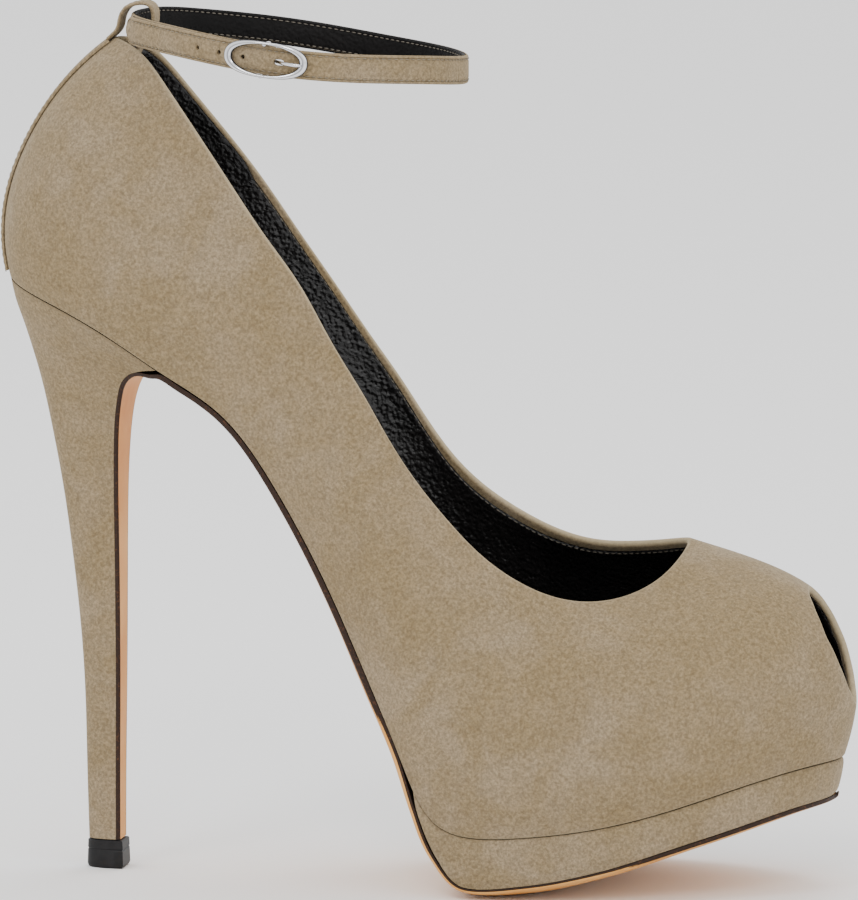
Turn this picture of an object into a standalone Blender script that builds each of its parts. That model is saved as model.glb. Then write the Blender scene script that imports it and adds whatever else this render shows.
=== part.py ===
"""Ankle strap pump with peep toe and platform, right shoe, standing empty on its sole.

X runs from heel to toe, the outer side of the foot is on -Y, and Z is up. Lengths are metres.
Every curve is worked out from the named sizes and from the short tables below.
"""

import math

import bmesh
import bpy
import numpy as np
from mathutils import Vector

# Named sizes
LENGTH = 0.220
BALL_WIDTH = 0.084
SEAT_HEIGHT = 0.152
WALL = 0.0022
GAP = 0.0003
INSOLE = 0.0023
SOLE_EDGE = 0.0013
STRAP_WIDTH = 0.0072
STRAP_THICK = 0.0015

# The five girth lines of the upper sit at these shares of each rib, from feather to topline
RIB_SHARES = (0.0, 0.15, 0.5, 0.85, 1.0)

# Outer side, a row for each rib from the back seam to the toe.
# foot x, out, z | top x, out, z | swell low, mid, high.
# x in lengths, out in ball widths from the long axis, z in seat heights, swell in ball widths.
OUTER = (
    (0.003, 0.000, 1.001, 0.129, 0.000, 1.410, 0.101, 0.155, 0.077),
    (0.025, 0.131, 0.988, 0.143, 0.083, 1.406, 0.089, 0.137, 0.065),
    (0.073, 0.218, 0.961, 0.170, 0.161, 1.387, 0.077, 0.107, 0.042),
    (0.136, 0.265, 0.916, 0.205, 0.226, 1.332, 0.065, 0.077, 0.024),
    (0.200, 0.270, 0.857, 0.241, 0.268, 1.263, 0.054, 0.060, 0.012),
    (0.259, 0.264, 0.793, 0.282, 0.294, 1.180, 0.042, 0.048, 0.012),
    (0.311, 0.266, 0.691, 0.325, 0.310, 1.092, 0.036, 0.042, 0.012),
    (0.357, 0.283, 0.575, 0.366, 0.319, 1.013, 0.030, 0.042, 0.018),
    (0.400, 0.317, 0.460, 0.405, 0.331, 0.918, 0.030, 0.048, 0.024),
    (0.445, 0.357, 0.342, 0.443, 0.342, 0.833, 0.036, 0.060, 0.030),
    (0.489, 0.399, 0.230, 0.477, 0.345, 0.751, 0.042, 0.071, 0.036),
    (0.516, 0.423, 0.158, 0.509, 0.345, 0.684, 0.048, 0.083, 0.042),
    (0.541, 0.438, 0.118, 0.541, 0.345, 0.629, 0.054, 0.095, 0.048),
    (0.577, 0.452, 0.105, 0.577, 0.343, 0.576, 0.060, 0.101, 0.048),
    (0.636, 0.462, 0.109, 0.625, 0.329, 0.527, 0.060, 0.107, 0.050),
    (0.714, 0.460, 0.125, 0.677, 0.298, 0.499, 0.065, 0.125, 0.060),
    (0.800, 0.423, 0.156, 0.727, 0.248, 0.499, 0.083, 0.161, 0.071),
    (0.882, 0.333, 0.193, 0.766, 0.185, 0.521, 0.113, 0.226, 0.089),
    (0.948, 0.190, 0.216, 0.789, 0.107, 0.551, 0.149, 0.310, 0.107),
    (0.980, -0.018, 0.220, 0.798, -0.018, 0.579, 0.173, 0.345, 0.114),
)

# Inner side, the ribs between the same two ends
INNER = (
    (0.025, 0.131, 0.988, 0.143, 0.083, 1.405, 0.089, 0.137, 0.065),
    (0.073, 0.218, 0.961, 0.164, 0.167, 1.378, 0.077, 0.107, 0.042),
    (0.136, 0.262, 0.916, 0.196, 0.250, 1.313, 0.060, 0.071, 0.024),
    (0.200, 0.258, 0.857, 0.236, 0.286, 1.238, 0.042, 0.054, 0.012),
    (0.259, 0.238, 0.793, 0.277, 0.301, 1.160, 0.024, 0.036, 0.012),
    (0.311, 0.224, 0.691, 0.320, 0.312, 1.069, 0.018, 0.030, 0.012),
    (0.357, 0.224, 0.575, 0.364, 0.321, 0.978, 0.018, 0.030, 0.018),
    (0.400, 0.242, 0.460, 0.402, 0.333, 0.897, 0.018, 0.042, 0.024),
    (0.445, 0.280, 0.342, 0.441, 0.345, 0.817, 0.024, 0.060, 0.030),
    (0.489, 0.327, 0.230, 0.475, 0.349, 0.743, 0.036, 0.077, 0.036),
    (0.516, 0.363, 0.158, 0.507, 0.349, 0.684, 0.048, 0.095, 0.048),
    (0.541, 0.390, 0.118, 0.541, 0.345, 0.640, 0.054, 0.107, 0.054),
    (0.577, 0.426, 0.105, 0.580, 0.331, 0.605, 0.060, 0.119, 0.060),
    (0.638, 0.462, 0.109, 0.627, 0.294, 0.576, 0.065, 0.131, 0.065),
    (0.720, 0.474, 0.127, 0.677, 0.242, 0.562, 0.071, 0.149, 0.071),
    (0.805, 0.438, 0.158, 0.725, 0.182, 0.565, 0.089, 0.185, 0.083),
    (0.886, 0.351, 0.194, 0.761, 0.135, 0.572, 0.119, 0.238, 0.095),
    (0.950, 0.208, 0.216, 0.786, 0.083, 0.579, 0.149, 0.310, 0.107),
)

# What lies under the foot, a row for each rib: how far the sole's edge is back of and below the
# feather, how far the foot bed is above it, and how far the sole's middle swells below its edge.
# back in lengths, the rest in seat heights.
UNDER = (
    (0.000, 0.002, 0.003, 0.000),
    (0.000, 0.002, 0.003, 0.000),
    (0.000, 0.002, 0.003, 0.000),
    (0.000, 0.002, 0.003, 0.003),
    (0.000, 0.002, 0.003, 0.007),
    (0.000, 0.002, 0.003, 0.010),
    (0.000, 0.002, 0.003, 0.012),
    (0.000, 0.002, 0.004, 0.014),
    (0.000, 0.002, 0.008, 0.018),
    (0.000, 0.002, 0.021, 0.022),
    (0.000, 0.003, 0.042, 0.020),
    (0.002, 0.022, 0.057, 0.016),
    (0.008, 0.049, 0.066, 0.014),
    (0.014, 0.083, 0.071, 0.018),
    (0.002, 0.082, 0.072, 0.026),
    (0.000, 0.074, 0.072, 0.022),
    (0.000, 0.066, 0.072, 0.018),
    (0.002, 0.067, 0.072, 0.014),
    (0.005, 0.065, 0.072, 0.008),
    (0.008, 0.062, 0.072, 0.000),
)

# Heel block below its seat, a row for each level: back x, back z, front x, front z, half width.
# x in lengths, z in seat heights, half width in ball widths.
HEEL = (
    (0.0127, 0.9645, 0.1650, 0.8550, 0.208),
    (0.0223, 0.9296, 0.1473, 0.8395, 0.167),
    (0.0332, 0.8850, 0.1380, 0.8105, 0.131),
    (0.0450, 0.8290, 0.1327, 0.7664, 0.110),
    (0.0555, 0.7530, 0.1300, 0.7040, 0.093),
    (0.0650, 0.6480, 0.1290, 0.6250, 0.080),
    (0.0736, 0.5395, 0.1290, 0.5260, 0.070),
    (0.0810, 0.4243, 0.1290, 0.4180, 0.063),
    (0.0865, 0.3026, 0.1286, 0.3026, 0.057),
    (0.0900, 0.1776, 0.1277, 0.1776, 0.052),
    (0.0923, 0.0500, 0.1273, 0.0500, 0.049),
)

# Middle line of the ankle strap, from the back round the outer side: x, y, z in the three sizes
ANKLE = (
    (0.148, 0.000, 1.431),
    (0.200, -0.202, 1.417),
    (0.273, -0.335, 1.403),
    (0.345, -0.385, 1.388),
    (0.427, -0.350, 1.377),
    (0.500, -0.244, 1.371),
    (0.533, -0.024, 1.362),
    (0.500, 0.190, 1.366),
    (0.423, 0.330, 1.378),
    (0.305, 0.363, 1.403),
    (0.209, 0.270, 1.421),
    (0.164, 0.119, 1.429),
)

# The strap loop that carries on from the back strip: x, z in lengths and seat heights, half width
LOOP = (
    (0.1275, 1.424, 0.0041),
    (0.1300, 1.441, 0.0040),
    (0.1365, 1.457, 0.0040),
    (0.1480, 1.4655, 0.0040),
    (0.1610, 1.4655, 0.0040),
    (0.1735, 1.457, 0.0040),
    (0.1765, 1.438, 0.0040),
    (0.1735, 1.414, 0.0040),
    (0.1640, 1.392, 0.0039),
    (0.1565, 1.368, 0.0038),
)

BAR_FROM_BACK = 0.0543
BUCKLE_HALF = 0.0097
BUCKLE_HIGH = 0.00485
WIRE = 0.0011
BAR_RADIUS = 0.0006
PRONG_RADIUS = 0.00045
HOLE_SPACING = 0.0065

LAST_RIB = len(OUTER) - 1
RIB_COUNT = 2 * LAST_RIB


def periodic_spline(knots, values):
    """A closed smooth curve through values at knots; the last knot repeats the first value."""
    values = np.asarray(values, float)
    count = len(values)
    step = np.diff(knots)
    system = np.zeros((count, count))
    right = np.zeros_like(values)
    for i in range(count):
        before = step[i - 1]
        after = step[i]
        system[i, (i - 1) % count] += before
        system[i, i] += 2 * (before + after)
        system[i, (i + 1) % count] += after
        rise = (values[(i + 1) % count] - values[i]) / after
        fall = (values[i] - values[i - 1]) / before
        right[i] = 6 * (rise - fall)
    bend = np.linalg.solve(system, right)

    def at(t):
        t = np.asarray(t, float)
        span = np.clip(np.searchsorted(knots, t, side="right") - 1, 0, count - 1)
        width = step[span][:, None]
        a = ((knots[span + 1] - t) / step[span])[:, None]
        b = 1 - a
        nxt = (span + 1) % count
        line = a * values[span] + b * values[nxt]
        curve = (a**3 - a) * bend[span] + (b**3 - b) * bend[nxt]
        return line + curve * width**2 / 6

    return at


def rib_weights(v):
    """Weights of the five girth lines at share v of a rib: a clamped cubic B-spline."""
    knots = (0, 0, 0, 0, 0.5, 1, 1, 1, 1)
    v = np.clip(np.asarray(v, float), 0, 1 - 1e-9)
    basis = [((knots[i] <= v) & (v < knots[i + 1])).astype(float) for i in range(8)]
    for degree in (1, 2, 3):
        grown = []
        for i in range(8 - degree):
            left = knots[i + degree] - knots[i]
            right = knots[i + degree + 1] - knots[i + 1]
            first = (v - knots[i]) / left * basis[i] if left else 0
            second = (knots[i + degree + 1] - v) / right * basis[i + 1] if right else 0
            grown.append(first + second)
        basis = grown
    return np.stack(basis, axis=-1)


def girth_lines():
    """The five girth lines as closed smooth curves, and the knots that they share."""
    rows = [(row, -1) for row in OUTER] + [(row, 1) for row in reversed(INNER)]
    foot = []
    top = []
    swell = []
    for row, side in rows:
        foot.append((row[0] * LENGTH, side * row[1] * BALL_WIDTH, row[2] * SEAT_HEIGHT))
        top.append((row[3] * LENGTH, side * row[4] * BALL_WIDTH, row[5] * SEAT_HEIGHT))
        swell.append([share * BALL_WIDTH for share in row[6:]])
    foot = np.array(foot)
    top = np.array(top)
    swell = np.array(swell)
    middle = (foot + top) / 2
    along = np.roll(middle, -1, axis=0) - np.roll(middle, 1, axis=0)
    outward = np.cross(along, top - foot)
    outward /= np.linalg.norm(outward, axis=1)[:, None]
    steps = np.linalg.norm(np.roll(middle, -1, axis=0) - middle, axis=1)
    knots = np.concatenate([[0], np.cumsum(steps)])
    lines = []
    for share, lift in zip(RIB_SHARES, (None, 0, 1, 2, None)):
        points = foot + (top - foot) * share
        if lift is not None:
            points = points + outward * swell[:, lift : lift + 1]
        lines.append(periodic_spline(knots, points))
    return lines, knots


LINES, KNOTS = girth_lines()


def place(u):
    """The knot value at rib position u: 0 the back seam, LAST_RIB the toe, RIB_COUNT the back."""
    return np.interp(np.mod(u, RIB_COUNT), np.arange(RIB_COUNT + 1), KNOTS)


def skin(u, v):
    """Points of the upper's outside at rib positions u and rib shares v."""
    t = place(np.asarray(u, float))
    weights = rib_weights(v)
    return sum(weights[:, i : i + 1] * LINES[i](t) for i in range(5))


def skin_normal(u, v):
    """The outward normal of the upper there."""
    u = np.asarray(u, float)
    v = np.asarray(v, float)
    low = np.clip(v - 0.01, 0, 1)
    high = np.clip(v + 0.01, 0, 1)
    across = skin(u + 0.04, v) - skin(u - 0.04, v)
    up = skin(u, high) - skin(u, low)
    normal = np.cross(across, up)
    return normal / np.linalg.norm(normal, axis=1)[:, None]


def offset_skin(u, v, depth):
    """Points of the upper moved inward by depth."""
    return skin(u, v) - skin_normal(u, v) * np.asarray(depth, float).reshape(-1, 1)


def share_at_rise(u, rise):
    """The rib share v at which the rib's length from the feather is rise."""
    steps = np.linspace(0, 0.6, 41)
    shares = []
    for one, want in zip(u, rise):
        points = skin(np.full(41, one), steps)
        run = np.concatenate([[0], np.cumsum(np.linalg.norm(np.diff(points, axis=0), axis=1))])
        shares.append(np.interp(want, run, steps))
    return np.array(shares)


def under(s, column):
    """A column of the UNDER table at rib position s, smoothly between rows."""
    values = np.array([row[column] for row in UNDER])
    s = np.clip(np.asarray(s, float), 0, LAST_RIB)
    i = np.clip(s.astype(int), 0, LAST_RIB - 1)
    f = s - i
    slope = np.gradient(values)
    a = values[i]
    b = values[i + 1]
    h = (1 + 2 * f) * (1 - f) ** 2 * a + f * f * (3 - 2 * f) * b
    return h + f * (1 - f) ** 2 * slope[i] - f * f * (1 - f) * slope[i + 1]


def both_sides(s):
    """Rib positions of the outer and the inner side for s from heel to toe."""
    s = np.asarray(s, float)
    return s, RIB_COUNT - s


def smooth_step(value, low, high):
    f = np.clip((np.asarray(value, float) - low) / (high - low), 0, 1)
    return f * f * (3 - 2 * f)


# Meshes


def mesh_object(name, points, faces, material, angle=35):
    """A named closed object from points and faces, with outward faces and smooth shading."""
    mesh = bpy.data.meshes.new(name)
    mesh.from_pydata([tuple(p) for p in points], [], [tuple(f) for f in faces])
    shape = bmesh.new()
    shape.from_mesh(mesh)
    bmesh.ops.remove_doubles(shape, verts=shape.verts, dist=2e-6)
    bmesh.ops.dissolve_degenerate(shape, edges=shape.edges, dist=1e-6)
    bmesh.ops.recalc_face_normals(shape, faces=shape.faces)
    if shape.calc_volume(signed=True) < 0:
        bmesh.ops.reverse_faces(shape, faces=shape.faces)
    shape.to_mesh(mesh)
    shape.free()
    mesh.shade_smooth()
    mesh.set_sharp_from_angle(angle=math.radians(angle))
    mesh.materials.append(material)
    made = bpy.data.objects.new(name, mesh)
    bpy.context.scene.collection.objects.link(made)
    return made


def tube(rows, cap_first=True, cap_last=True):
    """Points and faces of a body lofted through closed loops of equal length."""
    rows = np.asarray(rows, float)
    count, ring = rows.shape[:2]
    points = rows.reshape(-1, 3)
    faces = []
    for i in range(count - 1):
        for j in range(ring):
            k = (j + 1) % ring
            faces.append((i * ring + j, i * ring + k, (i + 1) * ring + k, (i + 1) * ring + j))
    if cap_first:
        faces.append(tuple(range(ring))[::-1])
    if cap_last:
        faces.append(tuple((count - 1) * ring + j for j in range(ring)))
    return points, faces


def material(name, colour, roughness, metallic=0.0):
    made = bpy.data.materials.new(name)
    made.use_nodes = True
    shader = made.node_tree.nodes["Principled BSDF"]
    shader.inputs["Base Color"].default_value = (*colour, 1)
    shader.inputs["Roughness"].default_value = roughness
    shader.inputs["Metallic"].default_value = metallic
    return made


# Upper


PEEP_RIB = LAST_RIB
PEEP_LOW = 0.205
PEEP_HIGH = 0.585
PEEP_HALF = 0.58


def peep_ring(angles):
    """Rib position and share of the peep opening's edge at angles round it."""
    middle = (PEEP_LOW + PEEP_HIGH) / 2
    half = (PEEP_HIGH - PEEP_LOW) / 2
    c = np.cos(angles)
    s = np.sin(angles)
    u = PEEP_RIB + PEEP_HALF * np.sign(c) * np.abs(c) ** 0.9 * (1 - 0.12 * s)
    v = middle + half * np.sign(s) * np.abs(s) ** 0.9
    return u, v


def upper_grid(per_rib, shares, block_u, block_v, rings):
    """Rib positions, shares and faces of one skin, with the peep opening left out.

    The cells within block_u ribs of the toe and between the shares block_v are replaced by
    rings of cells that run from the block's edge to the opening.
    """
    columns = RIB_COUNT * per_rib
    u = np.repeat(np.arange(columns) / per_rib, len(shares))
    v = np.tile(shares, columns)
    rows = len(shares)
    first = int(round((PEEP_RIB - block_u) * per_rib))
    last = int(round((PEEP_RIB + block_u) * per_rib))
    low = int(np.argmin(np.abs(np.array(shares) - block_v[0])))
    high = int(np.argmin(np.abs(np.array(shares) - block_v[1])))
    faces = []
    for i in range(columns):
        for j in range(rows - 1):
            if first <= i < last and low <= j < high:
                continue
            k = (i + 1) % columns
            faces.append((i * rows + j, k * rows + j, k * rows + j + 1, i * rows + j + 1))
    edge = [(i, low) for i in range(first, last)]
    edge += [(last, j) for j in range(low, high)]
    edge += [(i, high) for i in range(last, first, -1)]
    edge += [(first, j) for j in range(high, low, -1)]
    edge = [i * rows + j for i, j in edge]
    middle = (PEEP_LOW + PEEP_HIGH) / 2
    half = (PEEP_HIGH - PEEP_LOW) / 2
    angles = np.arctan2((v[edge] - middle) / half, (u[edge] - PEEP_RIB) / PEEP_HALF)
    hole_u, hole_v = peep_ring(angles)
    before = edge
    ring_faces = []
    for ring in range(1, rings + 1):
        f = ring / rings
        start = len(u)
        u = np.concatenate([u, u[edge] + (hole_u - u[edge]) * f])
        v = np.concatenate([v, v[edge] + (hole_v - v[edge]) * f])
        now = list(range(start, start + len(edge)))
        for a in range(len(edge)):
            b = (a + 1) % len(edge)
            ring_faces.append((before[a], before[b], now[b], now[a]))
        before = now
    keep = np.zeros(len(u), bool)
    for face in faces + ring_faces:
        keep[list(face)] = True
    return u, v, faces + ring_faces, before, keep


def upper_mesh():
    """The hollow upper: outside, inside, and the rims at topline, feather and peep opening."""
    shares = [0, 0.04, 0.12, 0.22, 0.34, 0.46, 0.58, 0.7, 0.82, 0.93, 1]
    u, v, faces, hole, keep = upper_grid(2, shares, 2, (0.12, 0.7), 2)
    index = np.cumsum(keep) - 1
    faces = [tuple(index[list(f)]) for f in faces]
    hole = [index[i] for i in hole]
    rows = len(shares)
    columns = RIB_COUNT * 2
    feather = [index[i * rows] for i in range(columns)]
    top = [index[i * rows + rows - 1] for i in range(columns)]
    u = u[keep]
    v = v[keep]
    outside = skin(u, v)
    inside = offset_skin(u, v, WALL)
    count = len(u)
    points = np.concatenate([outside, inside])
    all_faces = list(faces)
    all_faces += [tuple(i + count for i in reversed(f)) for f in faces]
    for loop in (feather, top, hole):
        for a in range(len(loop)):
            i = loop[a]
            j = loop[(a + 1) % len(loop)]
            all_faces.append((i, j, j + count, i + count))
    return points, all_faces


# Sole, platform, insole


def sole_edge(s, side):
    """The upper edge of the outsole at rib position s."""
    u = both_sides(s)[side]
    point = LINES[0](place(u))
    point[:, 0] -= under(s, 0) * LENGTH
    point[:, 2] -= under(s, 1) * SEAT_HEIGHT
    return point


def sole_down(s):
    """The direction out of the sole at rib position s, in the shoe's upright plane."""
    step = 0.05
    ahead = np.clip(s + step, 0, LAST_RIB)
    behind = np.clip(s - step, 0, LAST_RIB)
    run = sole_edge(ahead, 0) + sole_edge(ahead, 1) - sole_edge(behind, 0) - sole_edge(behind, 1)
    run[:, 1] = 0
    run /= np.linalg.norm(run, axis=1)[:, None]
    return np.stack([run[:, 2], 0 * run[:, 0], -run[:, 0]], axis=1)


ACROSS = (0.0, 0.12, 0.3, 0.5, 0.7, 0.88, 1.0)


def sole_loop(left, right, down, edge, crown):
    """A closed loop across the sole: flat on top, swelling below."""
    top = [left, (left + right) / 2, right]
    below = []
    for f in ACROSS:
        swell = 1 - (2 * f - 1) ** 2
        below.append(left + (right - left) * f + down * (edge + crown * swell**0.7))
    return np.array(top + below[::-1])


def outsole_mesh():
    """The leather sole from toe to shank, turned down the front of the heel."""
    s = np.arange(LAST_RIB, 3.9, -0.5)
    left = sole_edge(s, 0)
    right = sole_edge(s, 1)
    inset = 0.0007 * smooth_step(s, 11, 13)
    left[:, 1] += inset * (s < LAST_RIB)
    right[:, 1] -= inset * (s < LAST_RIB)
    left[:, 0] -= 0.5 * inset * smooth_step(s, 16, 18)
    right[:, 0] -= 0.5 * inset * smooth_step(s, 16, 18)
    down = sole_down(s)
    crown = under(s, 3) * SEAT_HEIGHT
    loops = []
    for i in range(len(s)):
        edge = SOLE_EDGE * (1 - 0.3 * smooth_step(s[i], 11, 13))
        loops.append(sole_loop(left[i], right[i], down[i], edge, crown[i]))
    front = heel_front()
    for i in range(len(front)):
        centre, half, ahead = front[i]
        side = np.array([0, half, 0])
        share = i / (len(front) - 1)
        crown_now = 0.0005 * (1 - share)
        loops.append(sole_loop(centre - side, centre + side, ahead, SOLE_EDGE * 0.9, crown_now))
    loops = np.array(loops)
    loops[:, :, 2] = np.maximum(loops[:, :, 2], 0)
    return tube(loops, cap_first=False)


def heel_front():
    """Centre, half width and forward direction along the front of the heel, from the top down."""
    rows = np.array(HEEL)
    x = rows[:, 2] * LENGTH
    z = rows[:, 3] * SEAT_HEIGHT
    half = rows[:, 4] * BALL_WIDTH
    run = np.stack([np.gradient(x), np.gradient(z)], axis=1)
    run /= np.linalg.norm(run, axis=1)[:, None]
    seat_front = np.array([0.1845 * LENGTH, 0, 0.8555 * SEAT_HEIGHT])
    straight_down = np.array([0, 0, -1.0])
    made = [(seat_front + straight_down * GAP, 0.235 * BALL_WIDTH, straight_down)]
    for i in range(len(rows)):
        ahead = np.array([-run[i, 1], 0, run[i, 0]])
        centre = np.array([x[i], 0, z[i]]) + ahead * GAP
        made.append((centre, half[i], ahead))
    return made


def platform_mesh():
    """The suede block under the forefoot: the band that shows, and the step inside the upper."""
    s = np.arange(9, LAST_RIB + 0.1, 0.5)
    shows = smooth_step(s, 9.9, 11.0)
    rise = under(s, 2) * SEAT_HEIGHT - GAP
    sides = []
    for side in (0, 1):
        u = both_sides(s)[side]
        zero = np.zeros(len(s))
        depth = np.full(len(s), WALL + GAP * 1.6)
        foot_in = offset_skin(u, zero, depth)
        foot_in[:, 2] = LINES[0](place(u))[:, 2]
        foot_out = LINES[0](place(u))
        low_out = sole_edge(s, side) - sole_down(s) * GAP * 1.4
        low_out[:, 2] += GAP * smooth_step(s, 11, 12)
        shown = shows[:, None]
        low = foot_in * (1 - shown) + low_out * shown
        low[:, 2] = np.where(shows > 0, low[:, 2], foot_in[:, 2])
        band = foot_in * (1 - shown) + foot_out * shown
        band[:, 2] = np.maximum(band[:, 2] - GAP, low[:, 2] + 0.0001)
        step_in = foot_in.copy()
        step_in[:, 2] = np.maximum(foot_in[:, 2] - GAP, band[:, 2] + 0.00005)
        middle = offset_skin(u, share_at_rise(u, rise * 0.5), depth)
        top = offset_skin(u, share_at_rise(u, rise), depth)
        sides.append((low, band, step_in, middle, top))
    loops = []
    for i in range(len(s)):
        one = [sides[0][k][i] for k in range(5)]
        two = [sides[1][k][i] for k in range(5)]
        loop = one + [(one[-1] + two[-1]) / 2] + two[::-1] + [(one[0] + two[0]) / 2]
        loops.append(loop)
    return tube(loops, cap_last=False)


def insole_mesh():
    """The foot bed inside the upper."""
    s = np.arange(0, LAST_RIB + 0.1, 0.5)
    low_rise = under(s, 2) * SEAT_HEIGHT
    sides = []
    for side in (0, 1):
        u = both_sides(s)[side]
        depth = WALL + GAP * (1.7 + 1.5 * smooth_step(s, 15, 17))
        low = offset_skin(u, share_at_rise(u, low_rise), depth)
        top = offset_skin(u, share_at_rise(u, low_rise + INSOLE), depth)
        sides.append((low, top))
    loops = []
    for i in range(len(s)):
        a, b = sides[0][0][i], sides[0][1][i]
        c, d = sides[1][1][i], sides[1][0][i]
        quarters = [b + (c - b) * share for share in (0.25, 0.5, 0.75)]
        loops.append([a, b] + quarters + [c, d, (a + d) / 2])
    return tube(loops, cap_first=False, cap_last=False)


# Heel


def heel_mesh():
    """The heel block: its seat follows the feather line, and its shaft has a flat front."""
    count = 12
    share = np.linspace(-1, 1, 2 * count + 1)
    breast = 3.9
    u = np.where(share < 0, -share * breast, RIB_COUNT - share * breast)
    seat = LINES[0](place(u))
    seat[:, 2] -= GAP * 1.2
    loops = [seat]
    for back_x, back_z, front_x, front_z, half in HEEL:
        turn = np.abs(share) * math.pi / 2
        x = back_x + (front_x - back_x) * (1 - np.cos(turn))
        z = back_z + (front_z - back_z) * (1 - np.cos(turn))
        y = half * np.sign(share) * np.sin(turn) ** 0.9
        loops.append(np.stack([x * LENGTH, y * BALL_WIDTH, z * SEAT_HEIGHT], axis=1))
    return tube(loops)


def tip_mesh():
    """The wear tip: round at the back, flat in front, with a small bevel at the floor."""
    share = np.linspace(-1, 1, 21)
    turn = np.abs(share) * math.pi / 2
    low = HEEL[-1]
    loops = []
    for z, grow in ((low[1] * SEAT_HEIGHT - GAP, 0.0004), (0.0006, 0.0005), (0.0, 0.0)):
        back = low[0] * LENGTH - grow
        front = low[2] * LENGTH + SOLE_EDGE * 0.9 + GAP + grow
        half = low[4] * BALL_WIDTH + grow
        x = back + (front - back) * (1 - np.cos(turn))
        y = half * np.sign(share) * np.sin(turn) ** 0.9
        loops.append(np.stack([x, y, np.full(len(x), z)], axis=1))
    return tube(loops)


# Ankle strap, buckle, back strip


def ankle_line():
    """The strap's middle line as a closed curve by length from the back, and its whole length."""
    points = np.array(ANKLE) * np.array([LENGTH, BALL_WIDTH, SEAT_HEIGHT])
    steps = np.linalg.norm(np.roll(points, -1, axis=0) - points, axis=1)
    rough = periodic_spline(np.concatenate([[0], np.cumsum(steps)]), points)
    fine = rough(np.linspace(0, steps.sum(), 601)[:-1])
    runs = np.linalg.norm(np.roll(fine, -1, axis=0) - fine, axis=1)
    whole = runs.sum()
    return periodic_spline(np.concatenate([[0], np.cumsum(runs)]), fine), whole


ANKLE_LINE, ANKLE_LENGTH = ankle_line()


def on_strap(run, out, high):
    """Points at length run from the back, out from the strap's middle line, and high above it."""
    run = np.mod(np.asarray(run, float), ANKLE_LENGTH)
    step = 0.0008
    point = ANKLE_LINE(run)
    ahead = np.mod(run + step, ANKLE_LENGTH)
    behind = np.mod(run - step, ANKLE_LENGTH)
    along = ANKLE_LINE(ahead) - ANKLE_LINE(behind)
    along /= np.linalg.norm(along, axis=1)[:, None]
    side = np.cross(along, np.array([0.0, 0.0, 1.0]))
    side /= np.linalg.norm(side, axis=1)[:, None]
    up = np.cross(side, along)
    return point + side * np.reshape(out, (-1, 1)) + up * np.reshape(high, (-1, 1))


BILLET_OUT = 0.0021
FOLD_RADIUS = 0.00125
FOLD_THICK = 0.0009
BAR_OUT = -0.00075


def strap_path():
    """Run, out and thickness along the strap, from its folded end to its rounded end."""
    rows = []
    for back in (0.0125, 0.009, 0.006, 0.004, 0.0025):
        pinch = smooth_step(back, 0.0015, 0.006)
        rows.append((back, BAR_OUT - FOLD_RADIUS * (1 - 0.42 * pinch), FOLD_THICK))
    for turn in np.linspace(-80, 80, 9):
        a = math.radians(turn)
        around = BAR_OUT + FOLD_RADIUS * math.sin(a)
        rows.append((-FOLD_RADIUS * math.cos(a), around, FOLD_THICK))
    for back in (0.0025, 0.004, 0.006, 0.009, 0.0125, 0.016):
        pinch = smooth_step(back, 0.0015, 0.006)
        grow = smooth_step(back, 0.004, 0.016)
        out = BAR_OUT + FOLD_RADIUS * (1 - 0.42 * pinch) + 0.0004 * grow
        rows.append((back, out, FOLD_THICK + (STRAP_THICK - FOLD_THICK) * grow))
    end = ANKLE_LENGTH + BAR_FROM_BACK - 0.0052
    first_out = rows[-1][1]
    round_ankle = np.linspace(0.021, ANKLE_LENGTH - 0.012, 50)
    over_fold = np.linspace(ANKLE_LENGTH - 0.008, end - 0.0036, 14)
    for run in np.concatenate([round_ankle, over_fold]):
        climb = smooth_step(run, ANKLE_LENGTH * 0.55, ANKLE_LENGTH - 0.016)
        rows.append((run, first_out + (BILLET_OUT - first_out) * climb, STRAP_THICK))
    return rows, end


def strap_mesh():
    """One strap, folded round the bar at one end and rounded at the other."""
    rows, end = strap_path()
    plain = [(run, out, thick, STRAP_WIDTH / 2) for run, out, thick in rows]
    for share in (0.3, 0.6, 0.8, 0.93, 1.0):
        half = STRAP_WIDTH / 2 * math.sqrt(1 - share**2) + 0.0003 * share
        plain.append((end - 0.0036 * (1 - share), BILLET_OUT, STRAP_THICK, half))
    run = np.array([row[0] for row in plain])
    out = np.array([row[1] for row in plain])
    along = np.gradient(run)
    rise = np.gradient(out)
    size = np.hypot(along, rise)
    loops = []
    for i in range(len(plain)):
        thick, half = plain[i][2:]
        round_end = min(thick, half) * 0.22
        loop = []
        for side, high in ((1, -1), (1, 1), (-1, 1), (-1, -1)):
            corners = ((1.0, half - round_end), (1 - 2 * round_end / thick, half))
            for depth, tall in corners[::-1] if side * high < 0 else corners:
                lift = side * depth * thick / 2
                r = BAR_FROM_BACK - run[i] + lift * rise[i] / size[i]
                o = out[i] + lift * along[i] / size[i]
                loop.append(on_strap([r], [o], [high * tall])[0])
        loops.append(loop)
    return tube(loops)


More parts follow.
